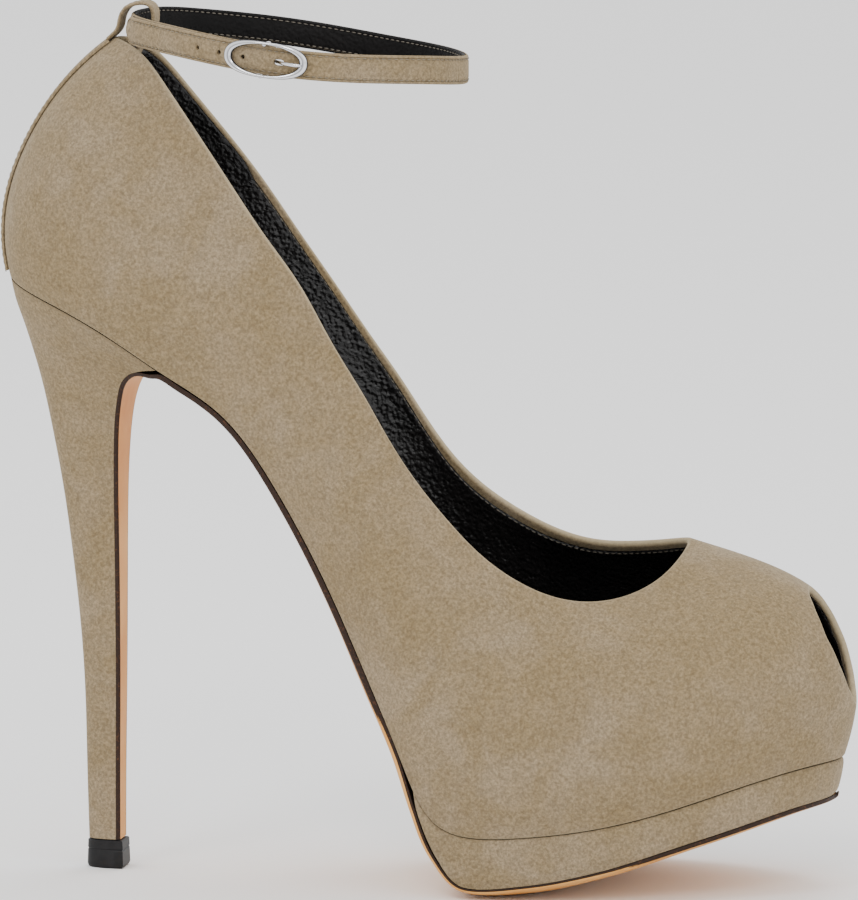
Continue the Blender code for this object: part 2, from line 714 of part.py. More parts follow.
def wire(points, radii, sides, closed=False):
    """A round wire through points with a radius at each; radii may be pairs across and outward."""
    points = np.asarray(points, float)
    count = len(points)
    if closed:
        along = np.roll(points, -1, axis=0) - np.roll(points, 1, axis=0)
    else:
        along = np.gradient(points, axis=0)
    along /= np.linalg.norm(along, axis=1)[:, None]
    normal = np.cross(along[0], [0.0, 0.0, 1.0])
    if np.linalg.norm(normal) < 0.1:
        normal = np.cross(along[0], [0.0, 1.0, 0.0])
    loops = []
    for i in range(count):
        normal = normal - along[i] * np.dot(normal, along[i])
        normal /= np.linalg.norm(normal)
        other = np.cross(along[i], normal)
        turn = np.arange(sides) * 2 * math.pi / sides
        ring = np.cos(turn)[:, None] * normal + np.sin(turn)[:, None] * other
        loops.append(points[i] + radii[i] * ring)
    if closed:
        loops.append(loops[0])
    return tube(loops, cap_first=not closed, cap_last=not closed)


FRAME_OUT = 0.0040


def buckle_mesh():
    """The oval frame, wider at its ends than above and below the strap."""
    loops = []
    for turn in np.linspace(0, 2 * math.pi, 37)[:-1]:
        c = math.cos(turn)
        s = math.sin(turn)
        thick_in = WIRE * (0.42 + 0.5 * abs(c) ** 1.5)
        thick_out = WIRE * 0.6
        run = (BUCKLE_HALF - WIRE * 0.92) * c
        high = (BUCKLE_HIGH - WIRE * 0.42) * s
        normal = np.array([c * BUCKLE_HIGH, s * BUCKLE_HALF])
        normal /= np.linalg.norm(normal)
        loop = []
        for part in np.arange(8) * math.pi / 4 + math.pi / 8:
            across = math.cos(part) * thick_in
            deep = math.sin(part) * thick_out
            place_run = BAR_FROM_BACK + run + normal[0] * across
            loop.append(on_strap([place_run], [FRAME_OUT + deep], [high + normal[1] * across])[0])
        loops.append(loop)
    loops.append(loops[0])
    return tube(loops, cap_first=False, cap_last=False)


def bar_mesh():
    """The centre bar behind the strap, with its two ends turned out to the frame."""
    tall = BUCKLE_HIGH - WIRE * 0.42
    path = [(FRAME_OUT, tall), (FRAME_OUT * 0.45, tall)]
    path += [(BAR_OUT + 0.0006, tall), (BAR_OUT, tall - 0.0006), (BAR_OUT, 0.0)]
    path += [(out, -high) for out, high in path[-2::-1]]
    points = [on_strap([BAR_FROM_BACK], [out], [high])[0] for out, high in path]
    radii = [BAR_RADIUS * 0.75] * 3 + [BAR_RADIUS] * 3 + [BAR_RADIUS * 0.75] * 3
    return wire(points, radii, 8)


def prong_mesh():
    """The prong: curled round the bar, out through the strap's hole, its tip on the frame."""
    curl = BAR_RADIUS + GAP + PRONG_RADIUS
    path = []
    for turn in range(-60, -301, -24):
        a = math.radians(turn)
        path.append((curl * math.cos(a), BAR_OUT + curl * math.sin(a)))
    path += [(0.0015, 0.0006), (0.0024, 0.0007), (0.0032, 0.0012), (0.0039, 0.0023)]
    path += [(0.0045, 0.0033), (0.0055, 0.0043), (0.0070, 0.0050)]
    path += [(0.0080, 0.0053), (0.0091, 0.0053)]
    points = [on_strap([BAR_FROM_BACK + run], [out], [0.0])[0] for run, out in path]
    radii = [PRONG_RADIUS] * (len(path) - 2) + [PRONG_RADIUS * 0.9, PRONG_RADIUS * 0.7]
    return wire(points, radii, 8)


def box_cutter(name, run, out, high, size):
    """A box in the strap's own directions: size is along it, out of it and up."""
    points = []
    for a in (-1, 1):
        for b in (-1, 1):
            for c in (-1, 1):
                corner = on_strap([run + a * size[0]], [out + b * size[1]], [high + c * size[2]])
                points.append(corner[0])
    faces = [(0, 1, 3, 2), (4, 6, 7, 5), (0, 4, 5, 1), (2, 3, 7, 6), (0, 2, 6, 4), (1, 5, 7, 3)]
    return helper(name, points, faces)


def hole_cutter(name, run, out, radius, stretch, deep):
    """A round or long hole through the strap."""
    loops = []
    for lift in (-deep, deep):
        loop = []
        for turn in np.arange(12) * math.pi / 6:
            x = radius * math.cos(turn)
            x += math.copysign(stretch, x) if abs(x) > 1e-9 else 0
            loop.append(on_strap([run + x], [out + lift], [radius * math.sin(turn)])[0])
        loops.append(loop)
    return helper(name, *tube(loops))


def helper(name, points, faces):
    made = mesh_object(name, points, faces, bpy.data.materials["strap_suede"])
    made.hide_render = True
    made.display_type = "WIRE"
    return made


def cut(target, cutters):
    for one in cutters:
        made = target.modifiers.new(one.name, "BOOLEAN")
        made.operation = "DIFFERENCE"
        made.solver = "EXACT"
        made.object = one


def join(target, other):
    made = target.modifiers.new(other.name, "BOOLEAN")
    made.operation = "UNION"
    made.solver = "EXACT"
    made.object = other


STRIP_THICK = 0.0012
STRIP_HALF = 0.0043


def back_strip_mesh():
    """The strip over the rear seam and the loop that it ends in."""
    shares = np.array([0.03, 0.08, 0.14, 0.21, 0.28, 0.36, 0.44, 0.52, 0.6, 0.68, 0.76, 0.84])
    shares = np.append(shares, [0.91, 0.965])
    across = np.linspace(-1, 1, 6)
    loops = []
    for v in shares:
        reach = np.linalg.norm(skin([0.5], [v]) - skin([0.0], [v])) * 2
        u = across * STRIP_HALF / reach
        near = offset_skin(u, np.full(6, v), np.full(6, -GAP))
        far = offset_skin(u, np.full(6, v), np.full(6, -GAP - STRIP_THICK))
        loops.append(list(near) + list(far[::-1]))
    table = np.array([(x * LENGTH, z * SEAT_HEIGHT, half) for x, z, half in LOOP])
    last = sum(loops[-1]) / 12
    path = np.concatenate([[(last[0], last[2], STRIP_HALF)], table])
    steps = np.linalg.norm(np.diff(path[:, :2], axis=0), axis=1)
    run = np.gradient(path[:, :2], np.concatenate([[0], np.cumsum(steps)]), axis=0)
    run /= np.linalg.norm(run, axis=1)[:, None]
    for i in range(1, len(path)):
        x, z, half = path[i]
        left = np.array([-run[i, 1], 0, run[i, 0]])
        near = [np.array([x, -k * half, z]) - left * STRIP_THICK / 2 for k in across]
        far = [np.array([x, -k * half, z]) + left * STRIP_THICK / 2 for k in across[::-1]]
        loops.append(near + far)
    return tube(loops[::-1])


def stand_on_origin():
    """Moves everything so that the middle of the whole shoe's base is the origin."""
    bpy.context.view_layer.update()
    graph = bpy.context.evaluated_depsgraph_get()
    corners = []
    for one in bpy.data.objects:
        if one.type == "MESH" and not one.hide_render:
            corners += [one.matrix_world @ Vector(c) for c in one.evaluated_get(graph).bound_box]
    low = [min(c[i] for c in corners) for i in range(3)]
    high = [max(c[i] for c in corners) for i in range(3)]
    for one in bpy.data.objects:
        one.location = (-(low[0] + high[0]) / 2, -(low[1] + high[1]) / 2, -low[2])


def clear_scene():
    for one in list(bpy.data.objects):
        bpy.data.objects.remove(one)


def main():
    clear_scene()
    suede = material("suede", (0.45, 0.40, 0.33), 0.95)
    lining = material("lining", (0.02, 0.02, 0.02), 0.5)
    leather = material("sole_leather", (0.55, 0.36, 0.22), 0.5)
    edge = material("platform_suede", (0.42, 0.37, 0.31), 0.95)
    heel_suede = material("heel_suede", (0.44, 0.39, 0.32), 0.95)
    rubber = material("tip_rubber", (0.02, 0.02, 0.02), 0.5)
    mesh_object("upper", *upper_mesh(), suede)
    mesh_object("outsole", *outsole_mesh(), leather)
    mesh_object("platform", *platform_mesh(), edge)
    mesh_object("insole", *insole_mesh(), lining)
    mesh_object("heel", *heel_mesh(), heel_suede)
    mesh_object("heel_tip", *tip_mesh(), rubber)
    strap_suede = material("strap_suede", (0.44, 0.39, 0.32), 0.95)
    strip_suede = material("strip_suede", (0.43, 0.38, 0.32), 0.95)
    metal = material("buckle_metal", (0.8, 0.8, 0.82), 0.15, 1.0)
    prong_metal = material("prong_metal", (0.78, 0.78, 0.8), 0.2, 1.0)
    strap = mesh_object("ankle_strap", *strap_mesh(), strap_suede)
    slot = box_cutter("fold_slot", BAR_FROM_BACK + 0.0005, -0.00085, 0.0, (0.0028, 0.0020, 0.0008))
    prong_run = BAR_FROM_BACK + 0.0037
    cutters = [slot, hole_cutter("prong_hole", prong_run, BILLET_OUT, 0.0008, 0.0005, 0.0011)]
    for i in (1, 2, 3):
        run = BAR_FROM_BACK + 0.0038 - (i + 0.4) * HOLE_SPACING
        cutters.append(hole_cutter(f"spare_hole_{i}", run, BILLET_OUT, 0.0006, 0.0, 0.00098))
    cut(strap, cutters)
    buckle = mesh_object("buckle", *buckle_mesh(), metal)
    bar = mesh_object("bar", *bar_mesh(), metal)
    bar.hide_render = True
    bar.display_type = "WIRE"
    join(buckle, bar)
    mesh_object("buckle_prong", *prong_mesh(), prong_metal)
    mesh_object("back_strip", *back_strip_mesh(), strip_suede)
    stand_on_origin()


if __name__ == "__main__":
    main()
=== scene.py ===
"""Looks of the ankle strap pump, right shoe: suede, lining, sole, strap, buckle, light and camera.

X runs from heel to toe, the outer side of the foot is on -Y, and Z is up. Lengths are metres.
The surfaces follow the same named sizes and short tables as the solids of the frame.
"""

from __future__ import annotations

import logging
import math
from collections.abc import Callable, Sequence
from dataclasses import dataclass, field
from enum import Enum

import bmesh
import bpy
import numpy as np
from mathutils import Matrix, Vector

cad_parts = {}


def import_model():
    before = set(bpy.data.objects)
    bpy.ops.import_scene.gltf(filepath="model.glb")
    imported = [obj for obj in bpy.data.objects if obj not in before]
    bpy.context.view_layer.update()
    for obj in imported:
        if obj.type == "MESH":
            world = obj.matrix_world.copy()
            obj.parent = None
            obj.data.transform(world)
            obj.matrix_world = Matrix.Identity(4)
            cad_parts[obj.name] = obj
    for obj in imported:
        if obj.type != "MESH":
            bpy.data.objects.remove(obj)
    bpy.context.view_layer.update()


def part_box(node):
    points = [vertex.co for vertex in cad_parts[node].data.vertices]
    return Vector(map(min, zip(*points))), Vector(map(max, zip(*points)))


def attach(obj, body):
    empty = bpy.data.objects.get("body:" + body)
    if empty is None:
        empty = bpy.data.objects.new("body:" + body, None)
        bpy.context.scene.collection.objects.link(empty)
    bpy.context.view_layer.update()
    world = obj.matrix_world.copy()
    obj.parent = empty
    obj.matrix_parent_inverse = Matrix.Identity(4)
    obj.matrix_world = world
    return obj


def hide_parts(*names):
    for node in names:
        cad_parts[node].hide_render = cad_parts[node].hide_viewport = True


LOG = logging.getLogger("pump")

Array = np.ndarray
Curve = Callable[[Array], Array]
Faces = list[tuple[int, ...]]
Material = bpy.types.Material
Object = bpy.types.Object
Socket = bpy.types.NodeSocket

MM = 0.001

# Share of each rib, from feather to topline, where the five girth lines sit
RIB_SHARES = (0.0, 0.15, 0.5, 0.85, 1.0)

# Outer side, a row for each rib from the back seam to the toe:
# foot x, out, z | top x, out, z | swell low, mid, high.
# x in lengths, out in ball widths from the long axis, z in seat heights, swell in ball widths.
OUTER = (
    (0.003, 0.000, 1.001, 0.129, 0.000, 1.410, 0.101, 0.155, 0.077),
    (0.025, 0.131, 0.988, 0.143, 0.083, 1.406, 0.089, 0.137, 0.065),
    (0.073, 0.218, 0.961, 0.170, 0.161, 1.387, 0.077, 0.107, 0.042),
    (0.136, 0.265, 0.916, 0.205, 0.226, 1.332, 0.065, 0.077, 0.024),
    (0.200, 0.270, 0.857, 0.241, 0.268, 1.263, 0.054, 0.060, 0.012),
    (0.266, 0.264, 0.793, 0.282, 0.294, 1.180, 0.042, 0.048, 0.012),
    (0.323, 0.266, 0.691, 0.325, 0.310, 1.092, 0.036, 0.042, 0.012),
    (0.371, 0.283, 0.575, 0.366, 0.319, 1.013, 0.030, 0.042, 0.018),
    (0.413, 0.317, 0.460, 0.405, 0.331, 0.918, 0.030, 0.048, 0.024),
    (0.452, 0.357, 0.342, 0.443, 0.342, 0.833, 0.036, 0.060, 0.030),
    (0.488, 0.399, 0.230, 0.477, 0.345, 0.751, 0.042, 0.071, 0.036),
    (0.512, 0.423, 0.158, 0.509, 0.345, 0.684, 0.048, 0.083, 0.042),
    (0.539, 0.438, 0.118, 0.541, 0.345, 0.629, 0.054, 0.095, 0.048),
    (0.577, 0.452, 0.105, 0.577, 0.343, 0.576, 0.060, 0.101, 0.048),
    (0.636, 0.462, 0.109, 0.625, 0.329, 0.527, 0.060, 0.107, 0.050),
    (0.714, 0.460, 0.125, 0.677, 0.298, 0.499, 0.065, 0.125, 0.060),
    (0.800, 0.423, 0.156, 0.727, 0.248, 0.499, 0.083, 0.161, 0.071),
    (0.882, 0.333, 0.193, 0.766, 0.185, 0.521, 0.113, 0.224, 0.068),
    (0.948, 0.190, 0.216, 0.789, 0.107, 0.551, 0.149, 0.310, 0.084),
    (0.980, -0.018, 0.220, 0.798, -0.018, 0.579, 0.173, 0.346, 0.092),
)

# Inner side, the ribs between the same two ends
INNER = (
    (0.025, 0.131, 0.988, 0.143, 0.083, 1.405, 0.089, 0.137, 0.065),
    (0.073, 0.218, 0.961, 0.164, 0.167, 1.378, 0.077, 0.107, 0.042),
    (0.136, 0.262, 0.916, 0.196, 0.250, 1.313, 0.060, 0.071, 0.024),
    (0.200, 0.258, 0.857, 0.236, 0.286, 1.238, 0.042, 0.054, 0.012),
    (0.266, 0.238, 0.793, 0.277, 0.301, 1.160, 0.024, 0.036, 0.012),
    (0.323, 0.224, 0.691, 0.320, 0.312, 1.069, 0.018, 0.030, 0.012),
    (0.371, 0.224, 0.575, 0.364, 0.321, 0.978, 0.018, 0.030, 0.018),
    (0.413, 0.242, 0.460, 0.402, 0.333, 0.897, 0.018, 0.042, 0.024),
    (0.452, 0.280, 0.342, 0.441, 0.345, 0.817, 0.024, 0.060, 0.030),
    (0.488, 0.327, 0.230, 0.475, 0.349, 0.743, 0.036, 0.077, 0.036),
    (0.512, 0.363, 0.158, 0.507, 0.349, 0.684, 0.048, 0.095, 0.048),
    (0.539, 0.390, 0.118, 0.541, 0.345, 0.640, 0.054, 0.107, 0.054),
    (0.577, 0.426, 0.105, 0.580, 0.331, 0.605, 0.060, 0.119, 0.060),
    (0.638, 0.462, 0.109, 0.627, 0.294, 0.576, 0.065, 0.131, 0.065),
    (0.720, 0.474, 0.127, 0.677, 0.242, 0.562, 0.071, 0.149, 0.071),
    (0.805, 0.438, 0.158, 0.725, 0.182, 0.565, 0.089, 0.185, 0.083),
    (0.886, 0.351, 0.194, 0.761, 0.135, 0.572, 0.119, 0.236, 0.074),
    (0.950, 0.208, 0.216, 0.786, 0.083, 0.579, 0.149, 0.310, 0.086),
)

# Under the foot, a row for each rib: the sole's edge back of and below the feather, the foot
# bed above it, and the swell of the sole's middle. back in lengths, the rest in seat heights.
UNDER = (
    (0.000, 0.002, 0.003, 0.000),
    (0.000, 0.002, 0.003, 0.000),
    (0.000, 0.002, 0.003, 0.000),
    (0.000, 0.002, 0.003, 0.003),
    (0.000, 0.002, 0.003, 0.007),
    (0.000, 0.002, 0.003, 0.010),
    (0.000, 0.002, 0.003, 0.012),
    (0.000, 0.002, 0.004, 0.014),
    (0.000, 0.002, 0.008, 0.018),
    (0.000, 0.002, 0.021, 0.022),
    (0.000, 0.003, 0.042, 0.020),
    (0.002, 0.022, 0.057, 0.016),
    (0.008, 0.049, 0.066, 0.014),
    (0.014, 0.083, 0.071, 0.018),
    (0.002, 0.082, 0.072, 0.026),
    (0.000, 0.074, 0.072, 0.022),
    (0.000, 0.066, 0.072, 0.018),
    (0.002, 0.067, 0.072, 0.014),
    (0.005, 0.065, 0.072, 0.008),
    (0.008, 0.062, 0.072, 0.000),
)

# Heel block below its seat, a row for each level: back x, back z, front x, front z, half width.
# x in lengths, z in seat heights, half width in ball widths.
HEEL = (
    (0.0091, 0.9645, 0.1650, 0.8550, 0.208),
    (0.0173, 0.9296, 0.1473, 0.8395, 0.167),
    (0.0271, 0.8850, 0.1380, 0.8105, 0.131),
    (0.0382, 0.8290, 0.1327, 0.7664, 0.110),
    (0.0498, 0.7530, 0.1300, 0.7040, 0.093),
    (0.0632, 0.6480, 0.1290, 0.6250, 0.080),
    (0.0736, 0.5395, 0.1290, 0.5260, 0.070),
    (0.0824, 0.4243, 0.1290, 0.4180, 0.063),
    (0.0880, 0.3026, 0.1286, 0.3026, 0.057),
    (0.0900, 0.1776, 0.1277, 0.1776, 0.052),
    (0.0923, 0.0500, 0.1273, 0.0500, 0.049),
)

# Middle line of the ankle strap, from the back round the outer side: x, y, z in the three sizes
ANKLE = (
    (0.1515, 0.000, 1.426),
    (0.202, -0.202, 1.416),
    (0.273, -0.335, 1.403),
    (0.345, -0.385, 1.388),
    (0.427, -0.350, 1.377),
    (0.500, -0.244, 1.371),
    (0.533, -0.024, 1.362),
    (0.500, 0.190, 1.366),
    (0.423, 0.330, 1.378),
    (0.305, 0.363, 1.403),
    (0.209, 0.270, 1.421),
    (0.164, 0.119, 1.429),
)

# Loop that carries on from the back strip: x, z in lengths and seat heights
LOOP = (
    (0.1318, 1.4220),
    (0.1350, 1.4400),
    (0.1419, 1.4570),
    (0.1525, 1.4640),
    (0.1642, 1.4650),
    (0.1714, 1.4590),
    (0.1740, 1.4430),
    (0.1695, 1.4140),
    (0.1570, 1.3920),
    (0.1480, 1.3660),
)

LAST_RIB = len(OUTER) - 1
RIB_COUNT = 2 * LAST_RIB


# Curves and blends


def smooth_step(value: Array | float, low: float, high: float) -> Array:
    """A soft ramp from 0 at low to 1 at high."""
    f = np.clip((np.asarray(value, float) - low) / (high - low), 0, 1)
    return f * f * (3 - 2 * f)


def bump(value: Array | float, middle: float, half: float) -> Array:
    """A soft hill of height 1 round middle, gone at half to either side."""
    f = np.clip(np.abs(np.asarray(value, float) - middle) / half, 0, 1)
    return (1 - f * f) ** 2


def unit(vectors: Array) -> Array:
    """The vectors at length 1."""
    return vectors / np.linalg.norm(vectors, axis=-1, keepdims=True)


def spline(knots: Array, values: Array, closed: bool = False) -> Curve:
    """A smooth curve through values.

    Args:
        knots: Rising positions; a closed curve has one more than its values.
        values: A row for each point.
        closed: Whether the last point runs on into the first.

    Returns:
        A function from positions to points.
    """
    knots = np.asarray(knots, float)
    values = np.asarray(values, float)
    count = len(values)
    step = np.diff(knots)
    system = np.zeros((count, count))
    right = np.zeros_like(values)
    for i in range(count):
        if not closed and i in (0, count - 1):
            system[i, i] = 1
            continue
        before, after = step[i - 1], step[i]
        system[i, (i - 1) % count] += before
        system[i, i] += 2 * (before + after)
        system[i, (i + 1) % count] += after
        rise = (values[(i + 1) % count] - values[i]) / after
        right[i] = 6 * (rise - (values[i] - values[i - 1]) / before)
    bend = np.linalg.solve(system, right)

    def at(position: Array) -> Array:
        """Points of the curve.

        Args:
            position: Where, on the scale of the knots.

        Returns:
            A row for each position.
        """
        t = np.asarray(position, float)
        span = np.clip(np.searchsorted(knots, t, side="right") - 1, 0, len(step) - 1)
        a = ((knots[span + 1] - t) / step[span])[:, None]
        b = 1 - a
        ahead = (span + 1) % count
        line = a * values[span] + b * values[ahead]
        curve = (a**3 - a) * bend[span] + (b**3 - b) * bend[ahead]
        return line + curve * step[span][:, None] ** 2 / 6

    return at


def refine(rows: Array, fine: int, by: int | None = None) -> Array:
    """Rows with fine steps between each two, on smooth curves through them.

    Args:
        rows: An array whose first axis is the sequence.
        fine: The number of steps that replace each one.
        by: How many of a row's first numbers say how far apart two rows are.

    Returns:
        The longer array.
    """
    rows = np.asarray(rows, float)
    flat = rows.reshape(len(rows), -1)
    steps = np.linalg.norm(np.diff(flat[:, :by], axis=0), axis=1) ** 0.5 + 1e-9
    knots = np.concatenate([[0], np.cumsum(steps)])
    where = np.interp(np.arange((len(rows) - 1) * fine + 1) / fine, np.arange(len(rows)), knots)
    return spline(knots, flat)(where).reshape((-1,) + rows.shape[1:])


def rib_weights(v: Array) -> Array:
    """Weights of the five girth lines, as a clamped cubic B-spline gives them.

    Args:
        v: Shares of a rib, from feather to topline.

    Returns:
        A row of five weights for each share.
    """
    knots = (0, 0, 0, 0, 0.5, 1, 1, 1, 1)
    v = np.clip(np.asarray(v, float), 0, 1 - 1e-9)
    basis = [((knots[i] <= v) & (v < knots[i + 1])).astype(float) for i in range(8)]
    for degree in (1, 2, 3):
        grown = []
        for i in range(8 - degree):
            left = knots[i + degree] - knots[i]
            right = knots[i + degree + 1] - knots[i + 1]
            first = (v - knots[i]) / left * basis[i] if left else 0
            second = (knots[i + degree + 1] - v) / right * basis[i + 1] if right else 0
            grown.append(first + second)
        basis = grown
    return np.stack(basis, axis=-1)


# The shoe's form


@dataclass(frozen=True)
class Sizes:
    """The sizes that drive the shoe, in metres."""

    length: float = 0.220
    ball_width: float = 0.084
    seat_height: float = 0.152
    wall: float = 0.0022
    gap: float = 0.0003
    insole: float = 0.0023
    sole_edge: float = 0.0013
    strap_width: float = 0.0072
    strap_thick: float = 0.0015
    tip_flare: float = 0.0005

    @property
    def scale(self) -> Array:
        """Length, ball width and seat height as one vector."""
        return np.array([self.length, self.ball_width, self.seat_height])


class Form:
    """The surface of the upper and the lines under the foot, from the tables.

    u counts ribs from the back seam round the outer side to the toe and back along the inner
    side. v is a share of a rib, from feather to topline. s counts ribs from heel to toe.
    """

    # the peep opening: rib shares of its lower and upper end, and half its width in ribs
    peep_low = 0.150
    peep_high = 0.585
    peep_half = 0.50

    def __init__(self, sizes: Sizes) -> None:
        """Works out the girth lines, the ribs' lengths and the peep opening.

        Args:
            sizes: The sizes that drive the shoe.
        """
        self.sizes = sizes
        rows = [(row, -1) for row in OUTER] + [(row, 1) for row in reversed(INNER)]
        foot = np.array([(r[0], side * r[1], r[2]) for r, side in rows]) * sizes.scale
        top = np.array([(r[3], side * r[4], r[5]) for r, side in rows]) * sizes.scale
        swell = np.array([r[6:] for r, _ in rows]) * sizes.ball_width
        middle = (foot + top) / 2
        along = np.roll(middle, -1, axis=0) - np.roll(middle, 1, axis=0)
        outward = unit(np.cross(along, top - foot))
        steps = np.linalg.norm(np.roll(middle, -1, axis=0) - middle, axis=1)
        self.knots = np.concatenate([[0], np.cumsum(steps)])
        self.lines = []
        for share, lift in zip(RIB_SHARES, (None, 0, 1, 2, None)):
            points = foot + (top - foot) * share
            if lift is not None:
                points = points + outward * swell[:, lift : lift + 1]
            self.lines.append(spline(self.knots, points, closed=True))
        columns = np.arange(RIB_COUNT * 4) / 4
        shares = np.linspace(0, 1, 25)
        ribs = self.skin(np.repeat(columns, 25), np.tile(shares, len(columns)))
        runs = np.linalg.norm(np.diff(ribs.reshape(-1, 25, 3), axis=1), axis=2).sum(1)
        self._lengths = np.append(runs, runs[0])
        self.peep_middle = (self.peep_low + self.peep_high) / 2
        self.peep_tall = (self.peep_high - self.peep_low) / 2
        ends = self.skin([LAST_RIB - 0.5, LAST_RIB + 0.5], [self.peep_middle] * 2)
        self.toe_pitch = np.linalg.norm(ends[1] - ends[0])
        self.toe_rib = self.rib_length(np.array([LAST_RIB]))[0]

    def place(self, u: Array) -> Array:
        """The knot value at rib position u."""
        return np.interp(np.mod(u, RIB_COUNT), np.arange(RIB_COUNT + 1), self.knots)

    def rib_length(self, u: Array) -> Array:
        """How long the rib at u is from feather to topline."""
        where = np.mod(np.asarray(u, float), RIB_COUNT) * 4
        return np.interp(where, np.arange(len(self._lengths)), self._lengths)

    def skin(self, u: Array, v: Array) -> Array:
        """Points of the upper's outside at u, v."""
        t = self.place(np.asarray(u, float))
        return sum(w[:, None] * line(t) for w, line in zip(rib_weights(v).T, self.lines))

    def normal(self, u: Array, v: Array) -> Array:
        """The outward normal of the upper.

        Args:
            u: Rib positions.
            v: Rib shares.

        Returns:
            A unit vector for each.
        """
        u = np.asarray(u, float)
        v = np.asarray(v, float)
        low = np.clip(v - 0.01, 0, 1)
        high = np.clip(v + 0.01, 0, 1)
        across = self.skin(u + 0.04, v) - self.skin(u - 0.04, v)
        return unit(np.cross(across, self.skin(u, high) - self.skin(u, low)))

    def inside(self, u: Array, v: Array, depth: Array | float) -> Array:
        """Points of the upper moved inward by depth."""
        depth = np.broadcast_to(np.asarray(depth, float), np.shape(u)).reshape(-1, 1)
        return self.skin(u, v) - self.normal(u, v) * depth

    def share_at(self, u: Array, rise: Array) -> Array:
        """The rib share at which a rib is rise long from the feather.

        Args:
            u: Rib positions.
            rise: Lengths along each rib.

        Returns:
            A share for each rib.
        """
        steps = np.linspace(0, 0.6, 31)
        count = len(u)
        points = self.skin(np.repeat(u, 31), np.tile(steps, count)).reshape(count, 31, 3)
        runs = np.linalg.norm(np.diff(points, axis=1), axis=2).cumsum(axis=1)
        runs = np.concatenate([np.zeros((count, 1)), runs], axis=1)
        return np.array([np.interp(rise[i], runs[i], steps) for i in range(count)])

    def under(self, s: Array, column: int) -> Array:
        """A column of the UNDER table, smoothly between its rows.

        Args:
            s: Rib positions from heel to toe.
            column: The column's number.

        Returns:
            A value for each position.
        """
        values = np.array([row[column] for row in UNDER])
        s = np.clip(np.asarray(s, float), 0, LAST_RIB)
        i = np.clip(s.astype(int), 0, LAST_RIB - 1)
        f = s - i
        slope = np.gradient(values)
        h = (1 + 2 * f) * (1 - f) ** 2 * values[i] + f * f * (3 - 2 * f) * values[i + 1]
        return h + f * (1 - f) ** 2 * slope[i] - f * f * (1 - f) * slope[i + 1]

    def sides(self, s: Array) -> tuple[Array, Array]:
        """Rib positions u of the outer and the inner side at s."""
        return s, RIB_COUNT - s

    def feather(self, s: Array, side: int) -> Array:
        """Points of the feather line, where the upper meets what is under it."""
        return self.lines[0](self.place(self.sides(s)[side]))

    def sole_line(self, s: Array, side: int) -> Array:
        """The upper edge of the outsole.

        Args:
            s: Rib positions from heel to toe.
            side: 0 for the outer side, 1 for the inner.

        Returns:
            A point for each position.
        """
        point = self.feather(s, side)
        point[:, 0] -= self.under(s, 0) * self.sizes.length
        point[:, 2] -= self.under(s, 1) * self.sizes.seat_height
        return point

    def sole_down(self, s: Array) -> Array:
        """The direction out of the sole, in the shoe's upright plane.

        Args:
            s: Rib positions from heel to toe.

        Returns:
            A unit vector for each.
        """
        ahead = np.clip(s + 0.05, 0, LAST_RIB)
        behind = np.clip(s - 0.05, 0, LAST_RIB)
        run = self.sole_line(ahead, 0) + self.sole_line(ahead, 1)
        run = run - self.sole_line(behind, 0) - self.sole_line(behind, 1)
        run[:, 1] = 0
        run = unit(run)
        return np.stack([run[:, 2], 0 * run[:, 0], -run[:, 0]], axis=1)


# Finishes


def linear(hex_colour: str) -> tuple[float, float, float, float]:
    """An sRGB hex colour as linear RGBA.

    Args:
        hex_colour: Such as #8b7757.

    Returns:
        Red, green, blue and alpha.
    """
    parts = [int(hex_colour[i : i + 2], 16) / 255 for i in (1, 3, 5)]
    low = [c / 12.92 if c <= 0.04045 else ((c + 0.055) / 1.055) ** 2.4 for c in parts]
    return (*low, 1.0)


def add(
    tree: bpy.types.NodeTree,
    kind: str,
    links: dict[str | int, object] | None = None,
    out: str | int = 0,
    **settings: object,
) -> Socket:
    """Adds a node with its settings and links.

    Args:
        tree: The tree that it goes into.
        kind: The node type's name.
        links: For an input's name or number, a socket to link, a value, or a hex colour.
        out: The name or number of the output that is wanted.
        settings: Properties of the node.

    Returns:
        That output.
    """
    made = tree.nodes.new(kind)
    for name, value in settings.items():
        setattr(made, name, value)
    for name, value in (links or {}).items():
        if isinstance(value, Socket):
            tree.links.new(value, made.inputs[name])
        else:
            made.inputs[name].default_value = linear(value) if isinstance(value, str) else value
    return made.outputs[out]


NOISE = "ShaderNodeTexNoise"
RANGE = "ShaderNodeMapRange"
MIX = "ShaderNodeMix"
MATH = "ShaderNodeMath"
MARK = "ShaderNodeAttribute"
WHITE = "#ffffff"
# inputs of a colour mix: its factor and its two colours
FACTOR, FIRST, SECOND = 0, 6, 7
COLOUR = {"data_type": "RGBA", "out": 2}


@dataclass(frozen=True)
class Blobs:
    """A noise: how many metres a blob is across, its octaves, their share, and its swirl."""

    size: float
    detail: float = 2.0
    rough: float = 0.5
    swirl: float = 0.0

    def links(self, where: Socket) -> dict[str, object]:
        """The inputs of its node."""
        made = {"Vector": where, "Scale": 1 / self.size, "Detail": self.detail}
        return made | {"Roughness": self.rough, "Distortion": self.swirl}


